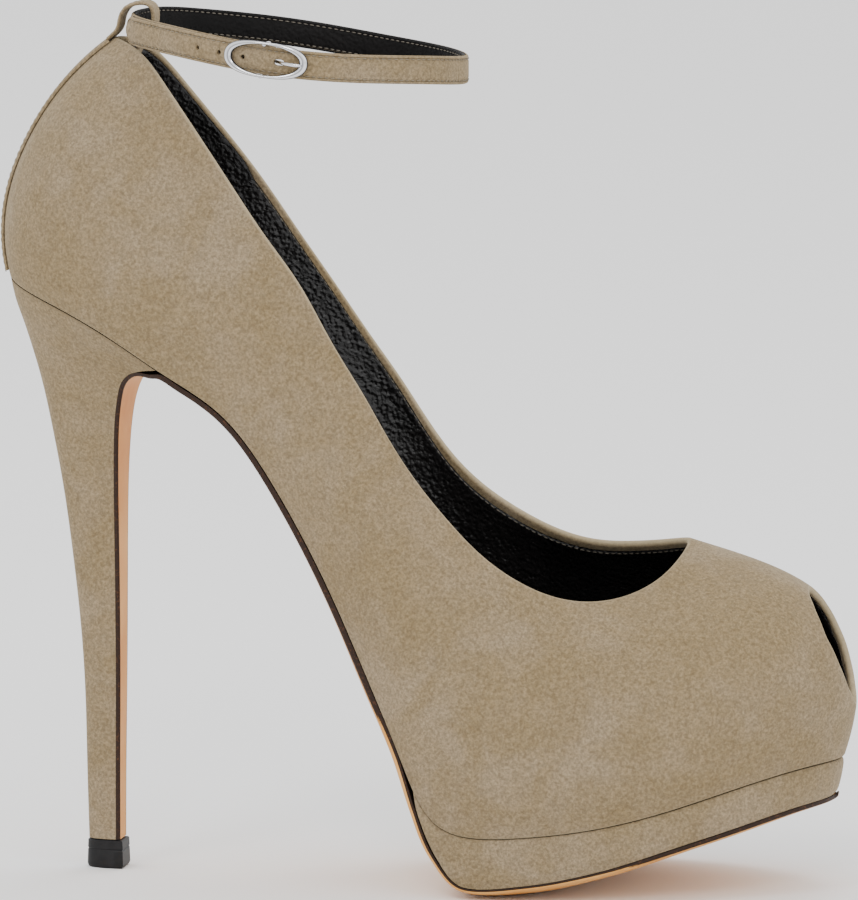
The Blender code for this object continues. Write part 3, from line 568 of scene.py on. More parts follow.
class Finish:
    """What every finish shares: a Principled shader, and a pattern on object coordinates."""

    name = "finish"

    def begin(self, **sockets: object) -> tuple[Material, bpy.types.NodeTree, Socket]:
        """A material with its shader's plain sockets set.

        Args:
            sockets: Values for the shader's inputs, with _ for a space in a name.

        Returns:
            The material, its tree and its object coordinates.
        """
        made = bpy.data.materials.new(self.name)
        made.use_nodes = True
        shader = made.node_tree.nodes["Principled BSDF"]
        for name, value in sockets.items():
            shader.inputs[name.replace("_", " ")].default_value = value
        return made, made.node_tree, add(made.node_tree, "ShaderNodeTexCoord", out="Object")

    def tone(
        self, value: Socket, low: float, high: float, first: str | Socket, second: str | Socket
    ) -> Socket:
        """One colour where a value is low, another where it is high.

        Args:
            value: The value.
            low: Up to where the first colour is alone.
            high: From where the second is.
            first: A socket or a hex colour.
            second: The same.

        Returns:
            The colour.
        """
        tree = value.id_data
        share = add(tree, RANGE, {"Value": value, "From Min": low, "From Max": high}, clamp=True)
        return add(tree, MIX, {FACTOR: share, FIRST: first, SECOND: second}, **COLOUR)

    def end(
        self, made: Material, colour: Socket, height: Socket, strength: float, depth: float
    ) -> Material:
        """Links a pattern's colour and its relief to the shader.

        Args:
            made: The material.
            colour: The pattern's colour.
            height: The pattern's height.
            strength: How strongly the relief shows.
            depth: The relief's depth in metres.

        Returns:
            The same material.
        """
        tree = made.node_tree
        shader = tree.nodes["Principled BSDF"].inputs
        tree.links.new(colour, shader["Base Color"])
        if depth:
            links = {"Height": height, "Strength": strength, "Distance": depth}
            tree.links.new(add(tree, "ShaderNodeBump", links), shader["Normal"])
        return made


@dataclass(frozen=True)
class Suede(Finish):
    """Goat suede, split and brushed: no shine, a short nap that lies light or dark in patches."""

    name: str = "suede_greige"
    base: str = "#8b7757"
    light: str = "#96846a"
    dark: str = "#66563f"
    warm: str = "#857150"
    edge: str = "#b4a586"
    shadow: str = "#c6c6c6"
    cloud: Blobs = Blobs(0.030, 3.0, 0.55, 0.6)
    patch: Blobs = Blobs(0.013, 3.0, 0.5, 0.8)
    clump: Blobs = Blobs(0.0022, 3.0, 0.6)
    speck: Blobs = Blobs(0.0011, 3.0, 0.75)
    # fibre ends are really 0.05 mm: drawn coarser, so that they show
    fibre: Blobs = Blobs(0.0007, 2.0, 0.75)

    def build(self) -> Material:
        """Brushed clouds, worn patches, specks, fibre ends and pale cut rims.

        Returns:
            The material.
        """
        made, tree, where = self.begin(
            Roughness=0.94,
            Specular_IOR_Level=0.12,
            Sheen_Weight=0.22,
            Sheen_Roughness=0.55,
            Sheen_Tint=linear("#d8cdb8"),
        )
        cloud, patch, clump, speck, fibre = (
            add(tree, NOISE, blobs.links(where))
            for blobs in (self.cloud, self.patch, self.clump, self.speck, self.fibre)
        )
        links = {"Value": patch, "From Min": 0.60, "From Max": 0.40}
        worn = add(tree, RANGE, links, clamp=True)
        colour = self.tone(cloud, 0.36, 0.62, self.base, self.light)
        for share, tone, blend in (
            (add(tree, MATH, {0: worn, 1: 0.6}, operation="MULTIPLY"), self.warm, "MIX"),
            (0.21, self.tone(speck, 0.34, 0.68, self.dark, self.edge), "MIX"),
            (0.9, self.tone(fibre, 0.36, 0.64, self.shadow, WHITE), "MULTIPLY"),
            (add(tree, MARK, out="Fac", attribute_name="rim"), self.edge, "MIX"),
            (add(tree, MARK, out="Fac", attribute_name="shade"), self.dark, "MIX"),
        ):
            links = {FACTOR: share, FIRST: colour, SECOND: tone}
            colour = add(tree, MIX, links, blend_type=blend, **COLOUR)
        height = add(tree, MATH, {0: fibre, 1: clump}, operation="ADD")
        return self.end(made, colour, height, 0.55, 0.00022)


@dataclass(frozen=True)
class GrainLeather(Finish):
    """Aniline lining leather, drum dyed: a pebbled grain with fine creases and a soft gloss."""

    name: str = "lining_black"
    base: str = "#0d0c0c"
    worn: str = "#161414"
    roughness: float = 0.36
    specular: float = 0.24
    depth: float = 0.00042
    pebble_size: float = 0.0010
    crease: Blobs = Blobs(0.0035, 4.0, 0.6, 1.6)
    fade: Blobs = Blobs(0.02)

    def build(self) -> Material:
        """Pebbles with creases between them, and paler worn areas.

        Returns:
            The material.
        """
        made, tree, where = self.begin(
            Roughness=self.roughness, Specular_IOR_Level=self.specular
        )
        links = {"Vector": where, "Scale": 1 / self.pebble_size, "Randomness": 1.0}
        pebbles = add(tree, "ShaderNodeTexVoronoi", links, feature="SMOOTH_F1")
        crease = add(tree, NOISE, self.crease.links(where))
        fade = add(tree, NOISE, self.fade.links(where))
        height = add(tree, MATH, {0: pebbles, 1: crease}, operation="ADD")
        colour = self.tone(fade, 0.4, 0.7, self.base, self.worn)
        return self.end(made, colour, height, 0.8, self.depth)


@dataclass(frozen=True)
class SoleLeather(Finish):
    """Veg-tanned sole bend, buffed and waxed: a satin tan, with a dark ink stain on its edge."""

    name: str = "sole_leather_tan"
    face: str = "#cf9045"
    pale: str = "#dca660"
    stain: str = "#27170d"
    worn: str = "#5e3a20"
    cloud: Blobs = Blobs(0.018, 4.0, 0.6)
    fibre: Blobs = Blobs(0.0009, 3.0, 0.7)

    def build(self) -> Material:
        """A clouded tan face, and ink that ends in a ragged line.

        Returns:
            The material.
        """
        made, tree, where = self.begin(Roughness=0.58, Specular_IOR_Level=0.22)
        cloud = add(tree, NOISE, self.cloud.links(where))
        fibre = add(tree, NOISE, self.fibre.links(where))
        mark = add(tree, MARK, out="Fac", attribute_name="stain")
        ragged = add(tree, MATH, {0: fibre, 1: 0.30, 2: -0.15}, operation="MULTIPLY_ADD")
        inked = add(tree, MATH, {0: mark, 1: ragged}, operation="ADD")
        face = self.tone(cloud, 0.35, 0.7, self.face, self.pale)
        ink = self.tone(fibre, 0.55, 0.8, self.stain, self.worn)
        return self.end(made, self.tone(inked, 0.42, 0.58, face, ink), fibre, 0.4, 0.00012)


@dataclass(frozen=True)
class TipRubber(Finish):
    """Moulded polyurethane top piece: dense, black, matt with a faint sheen on its corners."""

    name: str = "tip_rubber_black"
    base: str = "#0d0c0d"
    worn: str = "#1d1b1c"
    cloud: Blobs = Blobs(0.004, 4.0, 0.65)
    grit: Blobs = Blobs(0.0006)

    def build(self) -> Material:
        """Faint clouds and a fine grit.

        Returns:
            The material.
        """
        made, tree, where = self.begin(Roughness=0.5, Specular_IOR_Level=0.25)
        cloud = add(tree, NOISE, self.cloud.links(where))
        grit = add(tree, NOISE, self.grit.links(where))
        return self.end(made, self.tone(cloud, 0.45, 0.75, self.base, self.worn), grit, 0.3, 0.0001)


@dataclass(frozen=True)
class PlatedZinc(Finish):
    """Die-cast zinc with bright nickel plate: a mirror with faint polishing marks."""

    name: str = "nickel_plate"
    base: str = "#dcdcdf"
    # painted reflection: a dark colour on the buckle wire's sides, standing in for dark
    # surroundings mirrored in the plate
    painted_reflection: str = "#29282a"
    roughness: float = 0.08
    haze: Blobs = Blobs(0.0012, 3.0, 0.6)

    def build(self) -> Material:
        """Haze in the gloss, and a dark reflection painted on the wire's sides.

        Returns:
            The material.
        """
        made, tree, where = self.begin(Metallic=1.0)
        haze = add(tree, NOISE, self.haze.links(where))
        links = {"Value": haze, "To Min": self.roughness, "To Max": self.roughness * 2.2}
        gloss = tree.nodes["Principled BSDF"].inputs["Roughness"]
        tree.links.new(add(tree, RANGE, links), gloss)
        # mask of the painted dark reflection, from the frame's marks
        painted_reflection = add(tree, MARK, out="Fac", attribute_name="painted_reflection")
        colour = add(tree, MIX, {FACTOR: painted_reflection, FIRST: self.base, SECOND: self.painted_reflection}, **COLOUR)
        return self.end(made, colour, haze, 0, 0)


@dataclass(frozen=True)
class Thread(Finish):
    """Bonded polyester sewing thread: twisted, with a slight gloss."""

    name: str = "thread_taupe"
    base: str = "#8b7e68"
    shadow: str = "#b5b5b5"
    twist: Blobs = Blobs(0.0003)

    def build(self) -> Material:
        """One colour, darker between the plies.

        Returns:
            The material.
        """
        made, tree, where = self.begin(Roughness=0.6)
        ply = add(tree, NOISE, self.twist.links(where))
        tone = self.tone(ply, 0.3, 0.7, self.shadow, WHITE)
        links = {FACTOR: 1.0, FIRST: self.base, SECOND: tone}
        colour = add(tree, MIX, links, blend_type="MULTIPLY", **COLOUR)
        return self.end(made, colour, ply, 0, 0)


# Meshes


@dataclass
class Shape:
    """Points, faces and what is marked on them."""

    points: Array
    faces: Faces
    marks: dict[str, Array] = field(default_factory=dict)
    slots: list[int] = field(default_factory=list)


def loft(rows: Array, caps: tuple[bool, bool] = (True, True)) -> Shape:
    """A body through closed loops of equal length.

    Args:
        rows: Loops, points, xyz.
        caps: Whether the first and the last loop are filled.

    Returns:
        The shape.
    """
    count, ring = rows.shape[:2]
    faces: Faces = []
    for i in range(count - 1):
        for j in range(ring):
            k = (j + 1) % ring
            faces.append((i * ring + j, i * ring + k, (i + 1) * ring + k, (i + 1) * ring + j))
    if caps[0]:
        faces.append(tuple(range(ring))[::-1])
    if caps[1]:
        faces.append(tuple((count - 1) * ring + j for j in range(ring)))
    return Shape(rows.reshape(-1, 3), faces)


def stand(name: str, data: bpy.types.ID) -> Object:
    """An object of that data, in the scene.

    Args:
        name: The object's name.
        data: Its mesh, light or camera.

    Returns:
        The object.
    """
    made = bpy.data.objects.new(name, data)
    bpy.context.scene.collection.objects.link(made)
    return made


def solved(piece: Object) -> bpy.types.Mesh:
    """A plain mesh of the piece as its modifiers leave it."""
    graph = bpy.context.evaluated_depsgraph_get()
    return bpy.data.meshes.new_from_object(piece.evaluated_get(graph), depsgraph=graph)


class Workshop:
    """Holds the finishes, makes objects in the frame's place and puts them on the shoe."""

    # points nearer than this, in metres, become one
    merge = 2e-6

    def __init__(self, form: Form) -> None:
        """Finds where the frame stands from the heel tip's box, and lays out the finishes.

        Args:
            form: The shoe's form, whose heel starts at a known length.
        """
        low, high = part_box("heel_tip")
        tip_back = HEEL[-1][0] * form.sizes.length - form.sizes.tip_flare
        self.origin = np.array([low.x - tip_back, (low.y + high.y) / 2, 0.0])
        self.stitcher = Stitcher(self.origin)
        self.suede = Suede().build()
        self.lining = GrainLeather(depth=0.0006, specular=0.36, roughness=0.33).build()
        self.strap_lining = GrainLeather(
            "strap_lining_black", roughness=0.55, specular=0.10
        ).build()
        self.sock = GrainLeather("sock_leather_nude", "#9c8a82", "#a99890", 0.5).build()
        self.leather = SoleLeather().build()
        self.rubber = TipRubber().build()
        self.plate = PlatedZinc().build()
        self.thread = Thread().build()
        self.pale_thread = Thread("thread_pale", "#6b6458").build()

    def build(
        self,
        name: str,
        shape: Shape,
        finishes: Sequence[Material],
        sharp: float = 40,
    ) -> Object:
        """A closed object with outward faces.

        Args:
            name: The piece's name.
            shape: Its points and faces, in the maker's own frame.
            finishes: Its materials, by slot.
            sharp: Edges over this angle in degrees are drawn sharp.

        Returns:
            The object.
        """
        mesh = bpy.data.meshes.new(name)
        points = shape.points + self.origin
        mesh.from_pydata(points.tolist(), [], [tuple(map(int, f)) for f in shape.faces])
        for mark, values in shape.marks.items():
            layer = mesh.attributes.new(mark, "FLOAT", "POINT")
            layer.data.foreach_set("value", np.asarray(values, np.float32))
        if shape.slots:
            mesh.polygons.foreach_set("material_index", np.asarray(shape.slots, np.int32))
        work = bmesh.new()
        work.from_mesh(mesh)
        bmesh.ops.remove_doubles(work, verts=work.verts, dist=self.merge)
        bmesh.ops.dissolve_degenerate(work, edges=work.edges, dist=self.merge / 2)
        bmesh.ops.recalc_face_normals(work, faces=work.faces)
        if work.calc_volume(signed=True) < 0:
            bmesh.ops.reverse_faces(work, faces=work.faces)
        work.to_mesh(mesh)
        work.free()
        mesh.shade_smooth()
        mesh.set_sharp_from_angle(angle=math.radians(sharp))
        for finish in finishes:
            mesh.materials.append(finish)
        return stand(name, mesh)

    def fit(self, piece: Object, slot: str, *nodes: str) -> None:
        """Puts a finished piece on the shoe.

        Args:
            piece: The piece.
            slot: What it is made of; not used.
            nodes: The frame's solids that it stands for.
        """
        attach(piece, "root")
        if nodes:
            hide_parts(*nodes)
        LOG.info("%s: %d faces", piece.name, len(piece.data.polygons))

    def make(
        self,
        name: str,
        shape: Shape,
        finishes: Sequence[Material],
        slot: str,
        *nodes: str,
        sharp: float = 40,
    ) -> None:
        """Builds a piece and puts it on the shoe.

        Args:
            name: The piece's name.
            shape: Its points and faces, in the maker's own frame.
            finishes: Its materials, by slot.
            slot: What it is made of.
            nodes: The frame's solids that it stands for.
            sharp: Edges over this angle in degrees are drawn sharp.
        """
        self.fit(self.build(name, shape, finishes, sharp), slot, *nodes)

    def sew(
        self, name: str, lines: list[Array], spec: StitchSpec, thread: Material, slot: str
    ) -> None:
        """Sews rows of stitches and puts them on the shoe.

        Args:
            name: The piece's name.
            lines: Points of each row, in the maker's own frame.
            spec: The kind of stitch.
            thread: Its material.
            slot: What it is made of.
        """
        self.fit(self.stitcher.sew(name, lines, spec, thread), slot)


# Stitches


class StitchSpec(Enum):
    """Kinds of stitch, in metres: spacing, length, thread radius."""

    STRAP = (0.0016, 0.00115, 0.00016)
    TOPLINE = (0.0018, 0.0013, 0.00016)
    STRIP = (0.0019, 0.0013, 0.00018)


class Stitcher:
    """Rows of stitches from one Geometry Nodes tree."""

    sizes = ("Spacing", "Length", "Radius")

    def __init__(self, origin: Array) -> None:
        """Builds the tree: a bead at each step of a line, scaled to a stitch.

        Args:
            origin: Where the maker's own frame stands.
        """
        self.origin = origin
        self.tree = tree = bpy.data.node_groups.new("stitch_row", "GeometryNodeTree")
        self.keys = {}
        for name, way, kind in (
            ("Geometry", "INPUT", "Geometry"),
            *((size, "INPUT", "Float") for size in self.sizes),
            ("Thread", "INPUT", "Material"),
            ("Geometry", "OUTPUT", "Geometry"),
        ):
            item = tree.interface.new_socket(name, in_out=way, socket_type=f"NodeSocket{kind}")
            self.keys[name] = item.identifier
        given = add(tree, "NodeGroupInput").node.outputs
        line = add(tree, "GeometryNodeMeshToCurve", {"Mesh": given["Geometry"]})
        links = {"Curve": line, "Length": given["Spacing"]}
        dots = add(tree, "GeometryNodeCurveToPoints", links, mode="LENGTH").node.outputs
        half = add(tree, MATH, {0: given["Length"], 1: 0.5}, operation="MULTIPLY")
        links = {"X": given["Radius"], "Y": given["Radius"], "Z": half}
        size = add(tree, "ShaderNodeCombineXYZ", links)
        links = {"Segments": 6, "Rings": 5, "Radius": 1.0}
        bead = add(tree, "GeometryNodeMeshUVSphere", links)
        links = {"Points": dots["Points"], "Instance": bead, "Rotation": dots["Rotation"]}
        placed = add(tree, "GeometryNodeInstanceOnPoints", links | {"Scale": size})
        real = add(tree, "GeometryNodeRealizeInstances", {0: placed})
        smooth = add(tree, "GeometryNodeSetShadeSmooth", {"Geometry": real})
        links = {"Geometry": smooth, "Material": given["Thread"]}
        dressed = add(tree, "GeometryNodeSetMaterial", links)
        tree.links.new(dressed, tree.nodes.new("NodeGroupOutput").inputs["Geometry"])

    def sew(self, name: str, lines: list[Array], spec: StitchSpec, thread: Material) -> Object:
        """Stitches along lines.

        Args:
            name: The piece's name.
            lines: Points of each row, in the maker's own frame.
            spec: The kind of stitch.
            thread: Its material.

        Returns:
            The stitches as one plain mesh.
        """
        edges = []
        start = 0
        for line in lines:
            edges += [(start + i, start + i + 1) for i in range(len(line) - 1)]
            start += len(line)
        mesh = bpy.data.meshes.new(name + "_line")
        points = np.concatenate(lines) + self.origin
        mesh.from_pydata(points.tolist(), edges, [])
        guide = stand(name + "_line", mesh)
        rows = guide.modifiers.new("rows", "NODES")
        rows.node_group = self.tree
        for key, value in zip((*self.sizes, "Thread"), (*spec.value, thread)):
            rows[self.keys[key]] = value
        mesh = solved(guide)
        mesh.name = name
        bpy.data.objects.remove(guide)
        return stand(name, mesh)


# Upper


@dataclass(frozen=True)
class Crease:
    """A soft trough or ridge on the upper, from one rib and share to another."""

    start: tuple[float, float]
    end: tuple[float, float]
    half: float
    height: float
    # about how many metres one rib and one whole share are
    rib_pitch: float = 0.0085
    rib_run: float = 0.09

    def lift(self, u: Array, v: Array) -> Array:
        """How far it moves the surface out.

        Args:
            u: Rib positions.
            v: Rib shares.

        Returns:
            A height in metres for each.
        """
        scale = np.array([self.rib_pitch, self.rib_run])
        a = np.array(self.start) * scale
        run = np.array(self.end) * scale - a
        p = np.stack([u, v], axis=-1) * scale
        f = np.clip(((p - a) @ run) / (run @ run), 0, 1)
        away = np.linalg.norm(p - (a + f[:, None] * run), axis=1)
        fade = smooth_step(f, 0, 0.3) * smooth_step(1 - f, 0, 0.3)
        return self.height * np.exp(-((away / self.half) ** 2)) * fade


# Creases that the photo shows or that lie where a worn vamp gives: rib, share; half width, height
SUEDE_CREASES = (
    Crease((5.2, 0.30), (7.4, 0.62), 0.0032, -0.00022),
    Crease((6.4, 0.22), (8.8, 0.52), 0.0030, 0.00018),
    Crease((9.4, 0.35), (11.6, 0.80), 0.0045, -0.00025),
    Crease((11.5, 0.45), (13.6, 0.86), 0.0040, 0.00020),
    Crease((13.2, 0.40), (15.2, 0.90), 0.0038, -0.00022),
    Crease((15.4, 0.25), (17.6, 0.70), 0.0050, -0.00018),
    Crease((1.6, 0.15), (3.8, 0.40), 0.0050, 0.00020),
    Crease((0.8, 0.55), (3.2, 0.85), 0.0050, -0.00020),
    Crease((23.4, 0.40), (25.6, 0.85), 0.0040, -0.00022),
    Crease((26.4, 0.30), (28.8, 0.75), 0.0040, 0.00020),
    Crease((30.2, 0.30), (32.6, 0.70), 0.0040, -0.00020),
)


@dataclass
class Upper:
    """The suede shell, its black lining, and the stitches along the topline."""

    form: Form
    workshop: Workshop
    per_rib: int = 10
    suede_thick: float = 0.0011
    binding_thick: float = 0.0019
    binding_wide: float = 0.0030
    # the turned-over edge is narrower round the heel, up to a step near the fifth rib
    binding_less: float = 0.0017
    step_from: float = 4.5
    step_rib: float = 4.9
    turn_fade: float = 0.0008
    lining_from: float = 0.00114
    ragged: float = 0.08
    # cells that give way to the rings round the peep: ribs to each side, lowest, highest share
    window: tuple[int, float, float] = (2, 0.04, 0.74)

    def rows(self, low: int, high: int) -> Array:
        """Shares along a rib, close together at the topline."""
        return np.concatenate([np.linspace(0, 0.88, low)[:-1], np.linspace(0.88, 1, high)])

    def hole(self, u: Array, v: Array, grow: float) -> tuple[Array, Array]:
        """The peep opening's slightly uneven edge, seen from its middle past given points.

        Args:
            u: Rib positions of the points.
            v: Their rib shares.
            grow: How much wider the opening is than the real one, in metres.

        Returns:
            u and v of the edge.
        """
        form = self.form
        angles = np.arctan2(
            (v - form.peep_middle) / form.peep_tall, (u - LAST_RIB) / form.peep_half
        )
        half_u = form.peep_half + grow / form.toe_pitch
        half_v = form.peep_tall + grow / form.toe_rib
        c = np.cos(angles)
        s = np.sin(angles)
        uneven = self.ragged * grow * (np.sin(7 * angles) + 0.6 * np.sin(13 * angles + 1))
        hole_u = LAST_RIB + (half_u + uneven * 60) * c * (1 + 0.06 * s)
        return hole_u, form.peep_middle + (half_v + uneven * 16) * s

    def grid(
        self, shares: Array, foot: Array, top: Array, grow: float, rings: int
    ) -> tuple[Array, Array, Faces, list[list[int]]]:
        """Rib positions, shares and faces of one skin with the peep opening left out.

        Args:
            shares: Shares of the part of each rib that the skin covers.
            foot: The rib share where the skin starts, for each column.
            top: The rib share where it ends.
            grow: How much wider the opening is than the real one, in metres.
            rings: Rings of cells round the opening.

        Returns:
            u, v, faces, and loops of points: feather, topline and opening, each with its
            neighbour.
        """
        columns = RIB_COUNT * self.per_rib
        rows = len(shares)
        u = np.repeat(np.arange(columns) / self.per_rib, rows)
        v = (foot[:, None] + (top - foot)[:, None] * shares[None, :]).ravel()
        ribs, lowest, highest = self.window
        first = (LAST_RIB - ribs) * self.per_rib
        last = (LAST_RIB + ribs) * self.per_rib
        low = int(np.argmin(np.abs(shares - lowest)))
        high = int(np.argmin(np.abs(shares - highest)))
        faces: Faces = []
        for i in range(columns):
            for j in range(rows - 1):
                if first <= i < last and low <= j < high:
                    continue
                k = (i + 1) % columns
                faces.append((i * rows + j, k * rows + j, k * rows + j + 1, i * rows + j + 1))
        corners = [(i, low) for i in range(first, last)]
        corners += [(last, j) for j in range(low, high)]
        corners += [(i, high) for i in range(last, first, -1)]
        corners += [(first, j) for j in range(high, low, -1)]
        before = edge = [i * rows + j for i, j in corners]
        start_u = u[edge]
        start_v = v[edge]
        hole_u, hole_v = self.hole(start_u, start_v, grow)
        for ring in range(1, rings + 1):
            f = 1 - (1 - ring / rings) ** 1.3
            now = list(range(len(u), len(u) + len(edge)))
            u = np.concatenate([u, start_u + (hole_u - start_u) * f])
            v = np.concatenate([v, start_v + (hole_v - start_v) * f])
            for a in range(len(edge)):
                b = (a + 1) % len(edge)
                faces.append((before[a], before[b], now[b], now[a]))
            before = now
        loops = [[i * rows + j for i in range(columns)] for j in (0, 1, rows - 1, rows - 2)]
        return u, v, faces, [*loops, before, [n - len(edge) for n in before]]

    def shell(
        self,
        shares: Array,
        foot: Array,
        top: Array,
        depths: Callable[[Array, Array], tuple[Array, Array]],
        grow: float,
        rings: int,
    ) -> Shape:
        """A closed wall with round rims.

        Args:
            shares: Shares of the part of each rib that the wall covers.
            foot: The rib share where it starts, for each column.
            top: The rib share where it ends.
            depths: From u, v to how far in its outside and its inside lie.
            grow: How much wider the peep opening is than the real one.
            rings: Rings of cells round the opening.

        Returns:
            The shape, with its rims marked.
        """
        u, v, faces, loops = self.grid(shares, foot, top, grow, rings)
        skin = self.form.skin(u, v)
        normal = self.form.normal(u, v)
        outside, inside = (skin - normal * depth[:, None] for depth in depths(u, v))
        count = len(u)
        points = [outside, inside]
        rim = [np.zeros(count), np.zeros(count)]
        total = 2 * count
        faces = faces + [tuple(i + count for i in reversed(f)) for f in faces]
        for at_edge, within in zip(loops[::2], loops[1::2]):
            middle = (outside[at_edge] + inside[at_edge]) / 2
            half = (outside[at_edge] - inside[at_edge]) / 2
            ahead = unit(outside[at_edge] - outside[within])
            ahead = unit(ahead - unit(half) * (ahead * unit(half)).sum(1)[:, None])
            size = np.linalg.norm(half, axis=1)[:, None]
            before = np.array(at_edge)
            for turn in (*np.linspace(0, math.pi, 6)[1:-1], None):
                if turn is None:
                    now = np.array(at_edge) + count
                else:
                    points.append(middle + half * math.cos(turn) + ahead * size * math.sin(turn))
                    rim.append(np.full(len(at_edge), math.sin(turn)))
                    now = np.arange(total, total + len(at_edge))
                    total += len(at_edge)
                for a in range(len(at_edge)):
                    b = (a + 1) % len(at_edge)
                    faces.append((before[a], before[b], now[b], now[a]))
                before = now
        used = np.zeros(total, bool)
        for face in faces:
            used[list(face)] = True
        index = np.cumsum(used) - 1
        kept = [tuple(index[list(face)]) for face in faces]
        return Shape(np.concatenate(points)[used], kept, {"rim": 0.55 * np.concatenate(rim)[used]})

    def binding(self, u: Array) -> Array:
        """How wide the turned-over suede is: narrow round the heel, wider from the step on.

        Args:
            u: Rib positions.

        Returns:
            A width in metres for each.
        """
        side = np.minimum(np.mod(u, RIB_COUNT), RIB_COUNT - np.mod(u, RIB_COUNT))
        before_step = 1 - smooth_step(side, self.step_from, self.step_rib)
        return self.binding_wide - self.binding_less * before_step

    def from_peep(self, u: Array, v: Array) -> Array:
        """About how far points are from the edge of the peep opening.

        Args:
            u: Rib positions.
            v: Rib shares.

        Returns:
            A distance in metres for each, below zero inside the opening.
        """
        form = self.form
        x = (u - LAST_RIB) / form.peep_half
        z = (v - form.peep_middle) / form.peep_tall
        wide = form.peep_half * form.toe_pitch
        tall = form.peep_tall * form.toe_rib
        return np.hypot(x * wide, z * tall) * (1 - 1 / (np.hypot(x, z) + 1e-6))

    def suede_depths(self, u: Array, v: Array) -> tuple[Array, Array]:
        """How deep the suede's faces lie: creased outside, turned over at topline and peep.

        Args:
            u: Rib positions.
            v: Rib shares.

        Returns:
            The depth of the outside and of the inside.
        """
        rib = self.form.rib_length(u)
        from_top = (1 - v) * rib
        fade = smooth_step(from_top, 0.001, 0.006) * smooth_step(v * rib, 0.001, 0.006)
        lift = sum(crease.lift(u, v) for crease in SUEDE_CREASES)
        turned = np.zeros(len(u))
        for away, wide in (
            (from_top, self.binding(u)),
            (self.from_peep(u, v), self.binding_wide),
        ):
            share = smooth_step((away - wide) / self.turn_fade, 0, 1)
            turned = np.maximum(turned, 1 - share)
        inside = self.suede_thick + (self.binding_thick - self.suede_thick) * turned
        return -lift * fade, inside

    def lining_depths(self, u: Array, v: Array) -> tuple[Array, Array]:
        """How deep the lining's two faces lie, with small wrinkles where it is bent.

        Args:
            u: Rib positions.
            v: Rib shares.

        Returns:
            The depth of the face under the suede and of the face to the foot.
        """
        rib = self.form.rib_length(u)
        bent = bump(v, 0.62, 0.42) * (bump(u, 28.5, 4.5) + 0.6 * bump(u, 9.5, 4.0))
        slant = u * 9.0 + v * 26.0
        ripple = np.sin(slant + 1.7 * np.sin(u * 2.1)) * (0.6 + 0.4 * np.sin(u * 3.7 + v * 11))
        fade = smooth_step((1 - v) * rib, 0.005, 0.010)
        inside = self.form.sizes.wall + 0.00009 * ripple * bent * fade
        return np.full(len(u), self.lining_from), inside

    def stitch_line(self, inset: float, depth: float) -> Array:
        """A line round the inside of the topline, from the step of the binding on.

        Args:
            inset: How far below the topline it runs.
            depth: How far in from the upper's outside.

        Returns:
            Its points.
        """
        u = np.linspace(self.step_rib, RIB_COUNT - self.step_rib, RIB_COUNT * 10 + 1)
        return self.form.inside(u, 1 - inset / self.form.rib_length(u), depth)

    def build(self) -> None:
        """Makes the pieces and puts them on the shoe."""
        shop = self.workshop
        wall = self.form.sizes.wall
        columns = np.arange(RIB_COUNT * self.per_rib) / self.per_rib
        rib = self.form.rib_length(columns)
        foot = self.suede_thick / 2 / rib
        top = 1 - self.binding_thick / 2 / rib
        grow = self.binding_thick / 2
        shape = self.shell(self.rows(44, 15), foot, top, self.suede_depths, grow, 9)
        shop.make("upper_suede", shape, [shop.suede], "upper_suede", "upper")
        half = (wall - self.lining_from) / 2
        foot = 0.004 + half / rib
        top = 1 - (self.binding(columns) + 0.0003 + half) / rib
        grow = self.binding_wide * 0.85 + half
        shape = self.shell(self.rows(44, 8), foot, top, self.lining_depths, grow, 7)
        shop.make("upper_lining", shape, [shop.lining], "upper_suede", "upper")
        row = self.stitch_line(self.binding_wide + 0.0006, wall)
        kind = StitchSpec.TOPLINE
        shop.sew("topline_stitches", [row], kind, shop.pale_thread, "upper_suede")


# Sole, platform, insole


